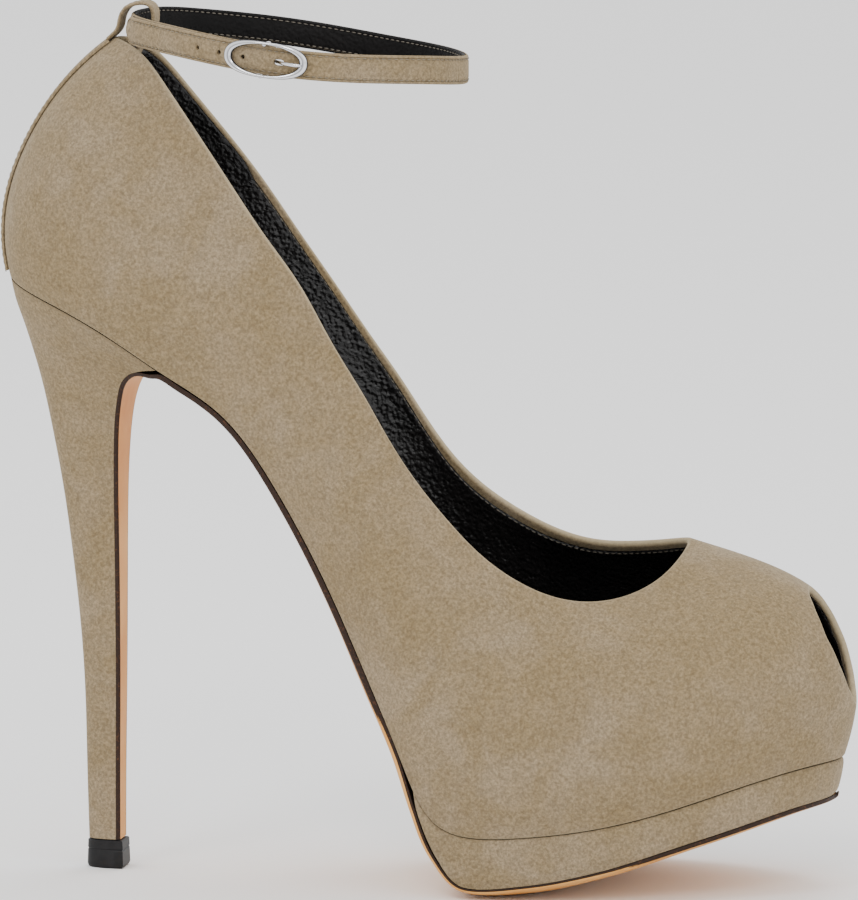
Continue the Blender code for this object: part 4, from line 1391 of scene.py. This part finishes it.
@dataclass
class Bottom:
    """The leather outsole, the suede platform and the foot bed."""

    form: Form
    workshop: Workshop
    # where the sole turns down the heel: x in lengths, z in seat heights, half in ball widths
    seat_front: tuple[float, float, float] = (0.1845, 0.8555, 0.235)
    # how far the sole's edge is set in under the forefoot and near the heel
    toe_inset: float = 0.0007
    shank_inset: float = 0.0005
    arris: float = 0.00025
    band_swell: float = 0.00035
    band_corner: float = 0.00055
    corner_share: float = 0.16
    sock_from: float = 16.9

    def ribs(self, low: float, high: float) -> Array:
        """Rib positions, closer together round the toe."""
        return np.concatenate([np.arange(low, 16, 0.125), np.arange(16, high + 0.01, 0.0625)])

    def heel_front(self) -> list[Array]:
        """The outsole's rows down the front of the heel.

        Returns:
            Rows of left point, right point, forward direction, thickness, swell, bare share.
        """
        sizes = self.form.sizes
        rows = np.array(HEEL)
        x = rows[:, 2] * sizes.length
        z = rows[:, 3] * sizes.seat_height
        half = rows[:, 4] * sizes.ball_width
        run = unit(np.stack([np.gradient(x), np.gradient(z)], axis=1))
        down = np.array([0, 0, -1.0])
        seat_x, seat_z, seat_half = self.seat_front
        seat = np.array([seat_x * sizes.length, 0, seat_z * sizes.seat_height])
        levels = [(seat + down * sizes.gap, seat_half * sizes.ball_width, down)]
        for i in range(len(rows)):
            ahead = np.array([-run[i, 1], 0, run[i, 0]])
            levels.append((np.array([x[i], 0, z[i]]) + ahead * 0.00005, half[i], ahead))
        made = []
        for i, (centre, wide, ahead) in enumerate(levels):
            side = np.array([0, wide, 0])
            swell = 0.0003 * (1 - i / (len(levels) - 1))
            rest = [sizes.sole_edge * 0.8, swell, 0]
            made.append(np.concatenate([centre - side, centre + side, ahead, rest]))
        return made

    def sole_section(self, row: Array) -> tuple[list[Array], list[float]]:
        """A closed loop across the outsole.

        Args:
            row: Left point, right point, direction out, thickness, swell, bare share.

        Returns:
            The loop's points, and how much of the edge's stain each has.
        """
        left, right, ahead = row[:3], row[3:6], unit(row[6:9])
        thick, swell, bare = row[9:]
        span = right - left
        wide = np.linalg.norm(span) + 1e-9
        round_off = min(self.arris / wide, 0.2)
        loop = [left + span * 0.5, left]
        marks = [0.0, 1.0]
        for down in (0.35, 0.7):
            loop.append(left + ahead * thick * down)
            marks.append(1.0 - bare * (down > 0.5))
        for f in (1 - np.cos(np.linspace(0, math.pi, 17))) / 2:
            lift = thick + swell * (1 - (2 * f - 1) ** 2) ** 0.7
            loop.append(left + span * (round_off + (1 - 2 * round_off) * f) + ahead * lift)
            near = min(f, 1 - f) * wide
            marks.append((1 - bare) * (1 - float(smooth_step(near, 0.0002, 0.0008))))
        for down in (0.7, 0.35, 0.0):
            loop.append(right + ahead * thick * down)
            marks.append(1.0 - bare * (down > 0.5))
        return loop, marks

    def outsole(self) -> Shape:
        """One leather sole from toe to shank, turned down the front of the heel.

        Returns:
            The shape, with its stained edge marked.
        """
        sizes = self.form.sizes
        s = np.arange(LAST_RIB, 3.9, -0.25)
        left = self.form.sole_line(s, 0)
        right = self.form.sole_line(s, 1)
        inset = self.toe_inset * smooth_step(s, 11, 13)
        inset += self.shank_inset * (1 - smooth_step(s, 4.5, 7))
        left[:, 1] += inset * (s < LAST_RIB)
        right[:, 1] -= inset * (s < LAST_RIB)
        for line in (left, right):
            line[:, 0] -= 0.5 * inset * smooth_step(s, 16, 18)
        edge = sizes.sole_edge * (1 - 0.3 * smooth_step(s, 11, 13))
        crown = self.form.under(s, 3) * sizes.seat_height
        bare = smooth_step(s, 8.6, 10.2) * (1 - smooth_step(s, 14.5, 16.5))
        rows = np.column_stack([left, right, self.form.sole_down(s), edge, crown, bare])
        rows = refine(np.concatenate([rows, self.heel_front()]), 4, 6)
        loops, stain = zip(*(self.sole_section(row) for row in rows))
        points = np.array(loops)
        points[:, :, 2] = np.maximum(points[:, :, 2], 0)
        shape = loft(points, (False, True))
        shape.marks["stain"] = np.array(stain).ravel()
        return shape

    def platform_side(self, s: Array, side: int) -> list[Array]:
        """Half a section of the platform at each rib: the band, then the step inside.

        Args:
            s: Rib positions from heel to toe.
            side: 0 for the outer side, 1 for the inner.

        Returns:
            Arrays of points, from the sole up.
        """
        form = self.form
        sizes = form.sizes
        shows = smooth_step(s, 9.9, 11.0)
        shown = shows[:, None]
        rise = form.under(s, 2) * sizes.seat_height - sizes.gap
        u = form.sides(s)[side]
        zero = np.zeros(len(s))
        depth = sizes.wall + sizes.gap * 1.6
        feather = form.feather(s, side)
        foot_in = form.inside(u, zero, depth)
        foot_in[:, 2] = feather[:, 2]
        low_out = form.sole_line(s, side) - form.sole_down(s) * sizes.gap * 0.6
        low = foot_in * (1 - shown) + low_out * shown
        low[:, 2] = np.where(shows > 0, low[:, 2], foot_in[:, 2])
        band = foot_in * (1 - shown) + feather * shown
        band[:, 2] = np.maximum(band[:, 2] - sizes.gap * 0.5, low[:, 2] + 0.0001)
        outward = form.normal(u, zero) * np.array([1, 1, 0])
        outward = unit(outward)
        tall = np.clip((band[:, 2] - low[:, 2]) / 0.006, 0, 1)
        rows = []
        for f in np.linspace(0, 1, 13):
            corner = self.band_corner * (1 - min(min(f, 1 - f) / self.corner_share, 1)) ** 2
            swell = (self.band_swell * (1 - (2 * f - 1) ** 2) - corner) * tall
            rows.append(low + (band - low) * f + outward * swell[:, None])
        step_in = foot_in.copy()
        step_in[:, 2] = np.maximum(foot_in[:, 2] - sizes.gap, band[:, 2] + 0.00005)
        rows.append(step_in)
        for share in (0.5, 1.0):
            rows.append(form.inside(u, form.share_at(u, rise * share), depth))
        return rows

    def platform(self) -> Shape:
        """The suede block: a softly crowned band, and the step inside the upper.

        Returns:
            The shape.
        """
        s = self.ribs(9, LAST_RIB)
        outer, inner = (np.array(self.platform_side(s, side)) for side in (0, 1))
        top = (outer[-1:] + inner[-1:]) / 2
        low = (outer[:1] + inner[:1]) / 2
        loops = np.concatenate([outer, top, inner[::-1], low]).transpose(1, 0, 2)
        return loft(loops, (True, False))

    def foot_bed(self) -> Shape:
        """The lined insole, with a paler sock at its front.

        Returns:
            The shape, with its two finishes' slots.
        """
        form = self.form
        s = self.ribs(0, LAST_RIB)
        rise = form.under(s, 2) * form.sizes.seat_height
        depth = form.sizes.wall + form.sizes.gap * (1.7 + 1.5 * smooth_step(s, 15, 17))
        a, b, d, c = (
            form.inside(u, form.share_at(u, rise + lift), depth)
            for u in form.sides(s)
            for lift in (0, form.sizes.insole)
        )
        across = [b + (c - b) * f for f in (0.04, 0.12, 0.25, 0.4, 0.5, 0.6, 0.75, 0.88, 0.96)]
        loops = np.array([a, b, *across, c, d, (a + d) / 2]).transpose(1, 0, 2)
        shape = loft(loops, (False, False))
        ring = loops.shape[1]
        shape.slots = [int(s[i // ring] > self.sock_from) for i in range(len(shape.faces))]
        return shape

    def build(self) -> None:
        """Makes the pieces and puts them on the shoe."""
        shop = self.workshop
        for name, shape, finishes, slot, node, sharp in (
            ("outsole_leather", self.outsole(), [shop.leather], "sole_leather", "outsole", 50),
            ("platform_cover", self.platform(), [shop.suede], "platform_suede", "platform", 40),
            ("foot_bed", self.foot_bed(), [shop.lining, shop.sock], "insole_leather", "insole", 40),
        ):
            shop.make(name, shape, finishes, slot, node, sharp=sharp)


# Heel


@dataclass
class Heel:
    """The suede-covered heel block and its wear tip."""

    form: Form
    workshop: Workshop
    breast: float = 3.9
    roundness: float = 0.9
    seam_shade: float = 0.6
    # the tip's upper levels: depth below its top, and how far it stands out
    tip_steps: tuple[tuple[float, float], ...] = (
        (0.0, 0.0),
        (0.0003, 0.0003),
        (0.0022, 0.0004),
        (0.0025, 0.0002),
        (0.0028, 0.0004),
    )
    # its lower levels: height above the floor, and how far it stands out
    tip_bevel: tuple[tuple[float, float], ...] = ((0.0009, 0.0005), (0.0003, 0.0003), (0.0, 0.0))

    def level(
        self, share: Array, back: tuple[float, float], front: tuple[float, float], half: float
    ) -> Array:
        """One level of the block, round at its back and flat at its front.

        Args:
            share: From -1 at the front of the outer side to 1 at the front of the inner.
            back: x and z of its back.
            front: x and z of its front.
            half: Half its width.

        Returns:
            Its points.
        """
        turn = np.abs(share) * math.pi / 2
        x, z = (b + (f - b) * (1 - np.cos(turn)) for b, f in zip(back, front))
        return np.stack([x, half * np.sign(share) * np.sin(turn) ** self.roundness, z], axis=1)

    def block(self) -> Shape:
        """The block: its seat follows the feather line, its front is flat under the sole.

        Returns:
            The shape, shaded along its seam with the upper.
        """
        share = np.linspace(-1, 1, 81)
        u = np.where(share < 0, -share * self.breast, RIB_COUNT - share * self.breast)
        seat = self.form.lines[0](self.form.place(u))
        seat[:, 2] -= 0.00002
        loops = [seat]
        for back_x, back_z, front_x, front_z, half in HEEL:
            level = self.level(share, (back_x, back_z), (front_x, front_z), half)
            loops.append(level * self.form.sizes.scale)
        shape = loft(refine(np.array(loops), 6))
        at_seam = np.arange(len(shape.points)) < len(share)
        shape.marks["shade"] = np.where(at_seam, self.seam_shade, 0.0)
        return shape

    def tip(self) -> Shape:
        """The wear tip, with a narrow step at its top and a bevel at the floor.

        Returns:
            The shape.
        """
        sizes = self.form.sizes
        back, low, front, _, half = HEEL[-1]
        top = low * sizes.seat_height - sizes.gap
        under_sole = front * sizes.length + sizes.sole_edge * 0.9 + sizes.gap
        levels = [(top - deep, grow) for deep, grow in self.tip_steps]
        loops = [
            self.level(
                np.linspace(-1, 1, 61),
                (back * sizes.length - grow, z),
                (under_sole + grow, z),
                half * sizes.ball_width + grow,
            )
            for z, grow in (*levels, *self.tip_bevel)
        ]
        return loft(np.array(loops))

    def build(self) -> None:
        """Makes the pieces and puts them on the shoe."""
        shop = self.workshop
        shop.make("heel_cover", self.block(), [shop.suede], "heel_suede", "heel", sharp=50)
        shop.make("heel_top_piece", self.tip(), [shop.rubber], "tip_rubber", "heel_tip", sharp=30)


# Strap, loop and buckle


class Ankle:
    """The strap's middle line, points beside it, and the place of the buckle's bar."""

    bar_run = 0.0543
    bar_out = -0.00075

    def __init__(self, sizes: Sizes) -> None:
        """Works out the line by its length from the back.

        Args:
            sizes: The sizes that drive the shoe.
        """
        points = np.array(ANKLE) * sizes.scale
        steps = np.linalg.norm(np.roll(points, -1, axis=0) - points, axis=1)
        rough = spline(np.concatenate([[0], np.cumsum(steps)]), points, closed=True)
        fine = rough(np.linspace(0, steps.sum(), 601)[:-1])
        runs = np.linalg.norm(np.roll(fine, -1, axis=0) - fine, axis=1)
        self.length = runs.sum()
        self.line = spline(np.concatenate([[0], np.cumsum(runs)]), fine, closed=True)

    def at(self, run: Array, out: Array | float, high: Array | float) -> Array:
        """Points beside the line.

        Args:
            run: Lengths along it from the back, round the outer side.
            out: How far out from it.
            high: How far above it.

        Returns:
            A point for each length.
        """
        run = np.mod(np.asarray(run, float), self.length)
        ahead = self.line(np.mod(run + 0.0008, self.length))
        along = unit(ahead - self.line(np.mod(run - 0.0008, self.length)))
        side = unit(np.cross(along, np.array([0.0, 0.0, 1.0])))
        out, high = (
            np.broadcast_to(np.asarray(value, float), run.shape).reshape(-1, 1)
            for value in (out, high)
        )
        return self.line(run) + side * out + np.cross(side, along) * high


@dataclass
class Strap:
    """The ankle strap with its fold, holes, rounded end and stitches."""

    form: Form
    workshop: Workshop
    ankle: Ankle
    billet_out: float = 0.0021
    past_bar: float = 0.0052
    fold_radius: float = 0.00125
    fold_thick: float = 0.0009
    fold_pinch: float = 0.42
    lining_sink: float = 0.00008
    hole_spacing: float = 0.0065
    # the hole in use: run from the bar, radius, stretch; then the spare ones' radius
    used_hole: tuple[float, float, float] = (0.0037, 0.0008, 0.0005)
    spare_from: float = 0.0038
    spare_radius: float = 0.0006
    spare_holes: int = 3
    seam_inset: float = 0.00095
    seam_first: int = 15

    def path(self) -> tuple[Array, float]:
        """The strap's course from the end of its fold to its rounded end.

        Returns:
            Rows of run from the bar, distance out and thickness, and the whole run.
        """
        thick = self.form.sizes.strap_thick
        bar = self.ankle.bar_out

        def pinched(back: float) -> float:
            """How far from the bar's middle the fold's layers are, back from the bar."""
            return self.fold_radius * (1 - self.fold_pinch * smooth_step(back, 0.0015, 0.006))

        rows = []
        for back in (0.0125, 0.009, 0.006, 0.004, 0.0025):
            rows.append((back, bar - pinched(back), self.fold_thick))
        for turn in np.linspace(-80, 80, 9):
            a = math.radians(turn)
            out = bar + self.fold_radius * math.sin(a)
            rows.append((-self.fold_radius * math.cos(a), out, self.fold_thick))
        for back in (0.0025, 0.004, 0.006, 0.009, 0.0125, 0.016):
            grow = smooth_step(back, 0.004, 0.016)
            out = bar + pinched(back) + 0.0004 * grow
            rows.append((back, out, self.fold_thick + (thick - self.fold_thick) * grow))
        length = self.ankle.length
        end = length + self.ankle.bar_run - self.past_bar
        round_from = end - self.form.sizes.strap_width / 2
        first = rows[-1][1]
        runs = [np.linspace(0.021, length - 0.012, 50), np.linspace(length - 0.008, round_from, 14)]
        for run in np.concatenate(runs):
            climb = smooth_step(run, length * 0.55, length - 0.016)
            rows.append((run, first + (self.billet_out - first) * climb, thick))
        return np.array(rows, float), end

    def section(self, thick: float, half: float) -> list[tuple[float, float]]:
        """Points round the strap, with round edges and a slightly sunk middle.

        Args:
            thick: The strap's thickness.
            half: Half its width.

        Returns:
            Depth and height of each point.
        """
        corner = min(thick * 0.42, half * 0.9)
        points = []
        for side, high in ((1, -1), (1, 1), (-1, 1), (-1, -1)):
            arc = np.linspace(0, math.pi / 2, 5)
            for a in arc[::-1] if side * high > 0 else arc:
                depth = side * (thick / 2 - corner + corner * math.cos(a))
                points.append((depth, high * (half - corner + corner * math.sin(a))))
            if side * high < 0:
                depth = side * thick / 2 + (self.lining_sink if side > 0 else 0)
                points += [(depth, half * f * side) for f in (-0.55, 0.0, 0.55)]
        return points

    def body(self) -> Shape:
        """The strap's solid.

        Returns:
            The shape, with slots for suede outside and lining inside.
        """
        rows, end = self.path()
        half = self.form.sizes.strap_width / 2
        thick = self.form.sizes.strap_thick
        plain = [(*row, half) for row in refine(rows, 3)]
        for share in np.sin(np.linspace(0.12, 1, 10) * math.pi / 2):
            tall = half * math.sqrt(max(1 - share**2, 0)) + 0.0002
            plain.append((end - half * (1 - share), self.billet_out, thick, tall))
        table = np.array(plain)
        along = np.gradient(table[:, 0])
        rise = np.gradient(table[:, 1])
        size = np.hypot(along, rise)
        loops = []
        for i, (run, out, deep, tall) in enumerate(table):
            section = np.array(self.section(deep, tall))
            r = self.ankle.bar_run - run + section[:, 0] * rise[i] / size[i]
            o = out + section[:, 0] * along[i] / size[i]
            loops.append(self.ankle.at(r, o, section[:, 1]))
        shape = loft(np.array(loops))
        ring = len(section)
        inner = {j for j in range(ring) if section[j, 0] < -0.1 * thick}
        for face in shape.faces:
            lined = len(face) == 4 and {k % ring for k in face} <= inner
            shape.slots.append(int(lined))
        return shape

    def punch(self, strap: Object) -> None:
        """Cuts the used hole and the spare ones through the strap's outer layer.

        Args:
            strap: The strap, whose mesh is replaced.
        """
        bar = self.ankle.bar_run
        start, *used = self.used_hole
        holes = [(bar + start, *used)]
        for i in range(1, self.spare_holes + 1):
            run = bar + self.spare_from - (i + 0.4) * self.hole_spacing
            holes.append((run, self.spare_radius, 0.0))
        turn = np.linspace(0, 2 * math.pi, 25)[:-1]
        cutters = []
        for run, radius, stretch in holes:
            x = radius * np.cos(turn)
            x = x + np.sign(x) * stretch
            loops = [
                self.ankle.at(run + x, self.billet_out + lift, radius * np.sin(turn))
                for lift in (-0.00098, 0.0012)
            ]
            cutters.append(self.workshop.build("hole_cutter", loft(np.array(loops)), []))
            cut = strap.modifiers.new("punch", "BOOLEAN")
            cut.operation = "DIFFERENCE"
            cut.solver = "EXACT"
            cut.object = cutters[-1]
        solid = solved(strap)
        strap.modifiers.clear()
        strap.data = solid
        for cutter in cutters:
            bpy.data.objects.remove(cutter)

    def seams(self, face: int) -> list[Array]:
        """Lines of stitches near both edges of the strap.

        Args:
            face: 1 for its outer face, -1 for its lining.

        Returns:
            The points of each line.
        """
        rows, end = self.path()
        rows = refine(rows, 3)
        if face > 0:
            keep = (np.arange(len(rows)) > 3 * self.seam_first) & (rows[:, 0] < end - 0.004)
        else:
            keep = (rows[:, 0] > 0.018) & (rows[:, 0] < self.ankle.length - 0.004)
        run, out, thick = rows[keep].T
        out = out + face * (thick / 2 + 0.00001)
        high = self.form.sizes.strap_width / 2 - self.seam_inset
        return [self.ankle.at(self.ankle.bar_run - run, out, side * high) for side in (-1, 1)]

    def build(self) -> None:
        """Makes the pieces and puts them on the shoe."""
        shop = self.workshop
        finishes = [shop.suede, shop.strap_lining]
        strap = shop.build("ankle_strap_suede", self.body(), finishes)
        self.punch(strap)
        shop.fit(strap, "strap_suede", "ankle_strap")
        for name, face, thread in (
            ("strap_stitches", 1, shop.thread),
            ("strap_lining_stitches", -1, shop.pale_thread),
        ):
            shop.sew(name, self.seams(face), StitchSpec.STRAP, thread, "strap_suede")


@dataclass
class BackStrip:
    """The strip over the rear seam and the loop that it ends in."""

    form: Form
    workshop: Workshop
    thick: float = 0.0010
    half: float = 0.0043
    lift: float = -0.0001
    rows_up: int = 60
    sewn_rows: int = 40

    def rows(self) -> tuple[Array, Array, Array]:
        """The strip's rows, from the heel up and on round the loop.

        Returns:
            Rib shares of the rows on the upper, then middle points and outward directions.
        """
        form = self.form
        v = np.linspace(0.03, 0.965, self.rows_up)
        out = form.normal(0 * v, v)
        middle = form.skin(0 * v, v) + out * (self.lift + self.thick / 2)
        table = np.array(LOOP) * [form.sizes.length, form.sizes.seat_height]
        fine = refine(np.concatenate([middle[-1:, [0, 2]], table]), 8)[1:]
        run = unit(np.gradient(fine, axis=0))
        loop_out = np.stack([-run[:, 1], 0 * run[:, 0], run[:, 0]], axis=1)
        loop = np.stack([fine[:, 0], 0 * fine[:, 0], fine[:, 1]], axis=1)
        return v, np.concatenate([middle, loop]), np.concatenate([out, loop_out])

    def pitch(self, v: float) -> float:
        """How many metres a rib is at the back seam, at share v."""
        return np.linalg.norm(self.form.skin([0.5], [v]) - self.form.skin([0.0], [v])) * 2

    def section(self) -> Array:
        """Points round the strip: turned edges, a slight crown.

        Returns:
            Shares of its half width and of its thickness.
        """
        across = np.array([-1, -0.94, -0.8, -0.62, -0.3, 0, 0.3, 0.62, 0.8, 0.94, 1])
        out = np.array([0, 0.36, 0.5, 0.44, 0.46, 0.5, 0.46, 0.44, 0.5, 0.36, 0])
        low = np.array([(a, -min(o, 0.46)) for a, o in zip(across[1:-1], out[1:-1])])
        return np.concatenate([np.stack([across, out], axis=1), low[::-1]])

    def body(self) -> Shape:
        """The strip as one solid.

        Returns:
            The shape.
        """
        v, middle, out = self.rows()
        across, rise = self.section().T
        loops = []
        for one in v:
            u = across * self.half / self.pitch(one)
            depth = -self.lift - self.thick * (0.5 + rise)
            loops.append(self.form.inside(u, np.full(len(u), one), depth))
        side = np.array([0, -1.0, 0])
        for i in range(len(v), len(middle)):
            narrow = self.half * (0.94 - 0.06 * (i - len(v)) / (len(middle) - len(v)))
            points = middle[i] + across[:, None] * side * narrow
            loops.append(points + rise[:, None] * out[i] * self.thick)
        return loft(np.array(loops))

    def seams(self) -> list[Array]:
        """Stitch lines along both edges of the strip and on over the loop.

        Returns:
            The points of each line.
        """
        v, middle, out = self.rows()
        loop = slice(self.rows_up, self.rows_up + self.sewn_rows)
        pitches = np.array([self.pitch(one) for one in v])
        lines = []
        for side in (-1, 1):
            u = side * 0.68 * self.half / pitches
            low = self.form.inside(u, v, -self.lift - self.thick * 0.94)
            high = middle[loop] + out[loop] * self.thick * 0.44
            high = high + np.array([0, -side * 0.64 * self.half, 0])
            lines.append(np.concatenate([low, high]))
        return lines

    def build(self) -> None:
        """Makes the pieces and puts them on the shoe."""
        shop = self.workshop
        finishes = [shop.suede]
        shop.make("back_strip_suede", self.body(), finishes, "strip_suede", "back_strip", sharp=60)
        shop.sew("strip_stitches", self.seams(), StitchSpec.STRIP, shop.thread, "strip_suede")


@dataclass
class Buckle:
    """The oval frame, its hidden centre bar, and the prong."""

    form: Form
    workshop: Workshop
    ankle: Ankle
    half_long: float = 0.0101
    half_high: float = 0.0046
    forward: float = 0.0005
    raised: float = 0.0003
    wire: float = 0.0011
    corner_power: float = 0.88
    frame_out: float = 0.0040
    bar_radius: float = 0.0006
    prong_radius: float = 0.00045
    # the prong past its curl: run from the bar, distance out
    prong_path: tuple[tuple[float, float], ...] = (
        (0.0015, 0.0006),
        (0.0024, 0.0007),
        (0.0032, 0.0012),
        (0.0039, 0.0023),
        (0.0045, 0.0033),
        (0.0055, 0.0043),
        (0.0070, 0.0050),
        (0.0080, 0.0053),
        (0.0091, 0.0053),
    )
    prong_taper: tuple[float, ...] = (0.97, 0.92, 0.84, 0.7, 0.4)

    def frame(self) -> Shape:
        """The oval frame: stout at its ends, thin above and below the strap.

        Returns:
            The shape, with the sides that carry the painted dark reflection marked.
        """
        part = np.linspace(0, 2 * math.pi, 33)[:-1]
        turns = np.linspace(0, 2 * math.pi, 145)
        loops = []
        for turn in turns:
            c = math.cos(turn)
            s = math.sin(turn)
            across = np.cos(part) * (self.wire * (0.34 + 0.58 * abs(c) ** 1.5))
            power = self.corner_power
            bent_c, bent_s = (math.copysign(abs(one) ** power, one) for one in (c, s))
            run = (self.half_long - self.wire * 0.92) * bent_c
            high = (self.half_high - self.wire * 0.42) * bent_s
            normal = unit(np.array([c * self.half_high, s * self.half_long]))
            loops.append(
                self.ankle.at(
                    self.ankle.bar_run + self.forward + run + normal[0] * across,
                    self.frame_out + np.sin(part) * self.wire * 0.55,
                    high + self.raised + normal[1] * across,
                )
            )
        loops[-1] = loops[0]
        shape = loft(np.array(loops), (False, False))
        # painted reflection: marks the wire's sides in the frame's plane and two narrow bands along
        # its front and back, to be darkened as if mirroring dark surroundings
        painted_reflection = smooth_step(np.abs(np.cos(part)), 0.66, 0.86)
        painted_reflection = np.maximum(painted_reflection, 0.85 * bump(np.cos(part), -0.12, 0.22))
        shape.marks["painted_reflection"] = np.tile(painted_reflection, len(turns))
        return shape

    def rod(self, points: Array, radii: Array, sides: int = 12) -> Shape:
        """A round wire.

        Args:
            points: Its middle line.
            radii: Its radius at each point.
            sides: How many sides its section has.

        Returns:
            The shape.
        """
        along = unit(np.gradient(points, axis=0))
        normal = np.cross(along[0], [0.0, 0.0, 1.0])
        if np.linalg.norm(normal) < 0.1:
            normal = np.cross(along[0], [0.0, 1.0, 0.0])
        turn = np.arange(sides) * 2 * math.pi / sides
        loops = []
        for i in range(len(points)):
            normal = unit(normal - along[i] * np.dot(normal, along[i]))
            other = np.cross(along[i], normal)
            ring = np.cos(turn)[:, None] * normal + np.sin(turn)[:, None] * other
            loops.append(points[i] + radii[i] * ring)
        return loft(np.array(loops))

    def bar(self) -> Shape:
        """The centre bar behind the strap, its two ends turned out to the frame.

        Returns:
            The shape.
        """
        tall = self.half_high - self.wire * 0.42
        back = self.ankle.bar_out
        path = [(self.frame_out, tall), (self.frame_out * 0.45, tall), (back + 0.0006, tall)]
        path += [(back, tall - 0.0006), (back, 0.0)]
        path += [(out, -high) for out, high in path[-2::-1]]
        out, high = refine(np.array(path), 4).T
        points = self.ankle.at(np.full(len(out), self.ankle.bar_run), out, high)
        return self.rod(points, np.full(len(out), self.bar_radius * 0.8))

    def prong(self) -> Shape:
        """The prong: curled round the bar, out through the hole, its tip on the frame.

        Returns:
            The shape.
        """
        curl = self.bar_radius + self.form.sizes.gap + self.prong_radius
        path = []
        for turn in range(-60, -301, -24):
            a = math.radians(turn)
            path.append((curl * math.cos(a), self.ankle.bar_out + curl * math.sin(a)))
        run, out = refine(np.array([*path, *self.prong_path]), 4).T
        radii = np.full(len(run), self.prong_radius)
        radii[-len(self.prong_taper) :] *= self.prong_taper
        return self.rod(self.ankle.at(self.ankle.bar_run + run, out, 0.0), radii)

    def build(self) -> None:
        """Makes the pieces and puts them on the shoe."""
        for name, shape, slot, *nodes in (
            ("buckle_frame", self.frame(), "buckle_metal", "buckle"),
            ("buckle_bar", self.bar(), "buckle_metal"),
            ("buckle_prong_wire", self.prong(), "prong_metal", "buckle_prong"),
        ):
            self.workshop.make(name, shape, [self.workshop.plate], slot, *nodes, sharp=60)


# Floor, light and camera


@dataclass(frozen=True)
class Studio:
    """A pale floor, soft light and the photo's camera."""

    turn: float = math.radians(10)
    tilt: float = math.radians(7)
    distance: float = 2.5
    # the photo is 900 px high, and a millimetre at the shoe's middle is 3.93 px of it
    pixels_per_mm: float = 3.93
    picture_height: float = 900
    sensor: float = 36.0
    target: tuple[float, float, float] = (0.00057, -0.00025, 0.1096)
    floor_half: float = 6.0
    floor_colour: str = "#f4f4f4"
    sky: float = 1.5
    # name, place, size in metres, power in watts
    lamps: tuple[tuple[str, tuple[float, float, float], float, float], ...] = (
        ("key", (-0.6, -1.3, 1.7), 0.5, 7),
        ("front", (0.15, -1.9, 1.35), 0.45, 8),
        ("fill", (1.3, -1.1, 0.8), 1.0, 3),
        ("top", (0.2, 0.5, 1.9), 0.7, 8),
    )

    def camera(self) -> None:
        """The camera, at the photo's angle and framing."""
        data = bpy.data.cameras.new("camera")
        data.sensor_width = self.sensor
        data.lens = self.pixels_per_mm * self.distance / MM * self.sensor / self.picture_height
        data.clip_end = 50
        made = stand("camera", data)
        level = math.cos(self.tilt)
        ahead = (-math.sin(self.turn) * level, math.cos(self.turn) * level, -math.sin(self.tilt))
        made.location = Vector(self.target) - Vector(ahead) * self.distance
        made.rotation_euler = Vector(ahead).to_track_quat("-Z", "Y").to_euler()
        bpy.context.scene.camera = made

    def floor(self) -> None:
        """A wide floor of pale paper."""
        mesh = bpy.data.meshes.new("floor")
        far = self.floor_half
        corners = [(-far, -far, 0), (far, -far, 0), (far, far, 0), (-far, far, 0)]
        mesh.from_pydata(corners, [], [(0, 1, 2, 3)])
        paper = bpy.data.materials.new("floor_paper")
        paper.use_nodes = True
        shader = paper.node_tree.nodes["Principled BSDF"].inputs
        shader["Base Color"].default_value = linear(self.floor_colour)
        shader["Roughness"].default_value = 0.9
        mesh.materials.append(paper)
        stand("floor", mesh)

    def light(self, name: str, at: tuple[float, float, float], size: float, power: float) -> None:
        """A square soft light that faces the shoe.

        Args:
            name: Its name.
            at: Its place.
            size: Its side in metres.
            power: Its power in watts.
        """
        data = bpy.data.lights.new(name, "AREA")
        data.size = size
        data.energy = power
        made = stand(name, data)
        made.location = at
        aim = Vector(self.target) - Vector(at)
        made.rotation_euler = aim.to_track_quat("-Z", "Y").to_euler()

    def build(self) -> None:
        """Sets the scene: floor, camera, lamps and a white sky."""
        self.floor()
        self.camera()
        for lamp in self.lamps:
            self.light(*lamp)
        world = bpy.data.worlds.new("studio")
        world.use_nodes = True
        ground = world.node_tree.nodes["Background"].inputs
        ground["Color"].default_value = (1, 1, 1, 1)
        ground["Strength"].default_value = self.sky
        bpy.context.scene.world = world


def main() -> None:
    """Builds the shoe, piece by piece, then the studio."""
    logging.basicConfig(level=logging.INFO, format="%(name)s: %(message)s")
    sizes = Sizes()
    form = Form(sizes)
    workshop = Workshop(form)
    ankle = Ankle(sizes)
    for assembly in (
        Upper(form, workshop),
        Bottom(form, workshop),
        Heel(form, workshop),
        BackStrip(form, workshop),
        Strap(form, workshop, ankle),
        Buckle(form, workshop, ankle),
        Studio(),
    ):
        assembly.build()


def plain(box: Sequence[Vector]) -> list[list[float]]:
    """A box's two corners as plain lists."""
    return [[float(c) for c in corner] for corner in box]


if __name__ == "__main__":
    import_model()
    main()
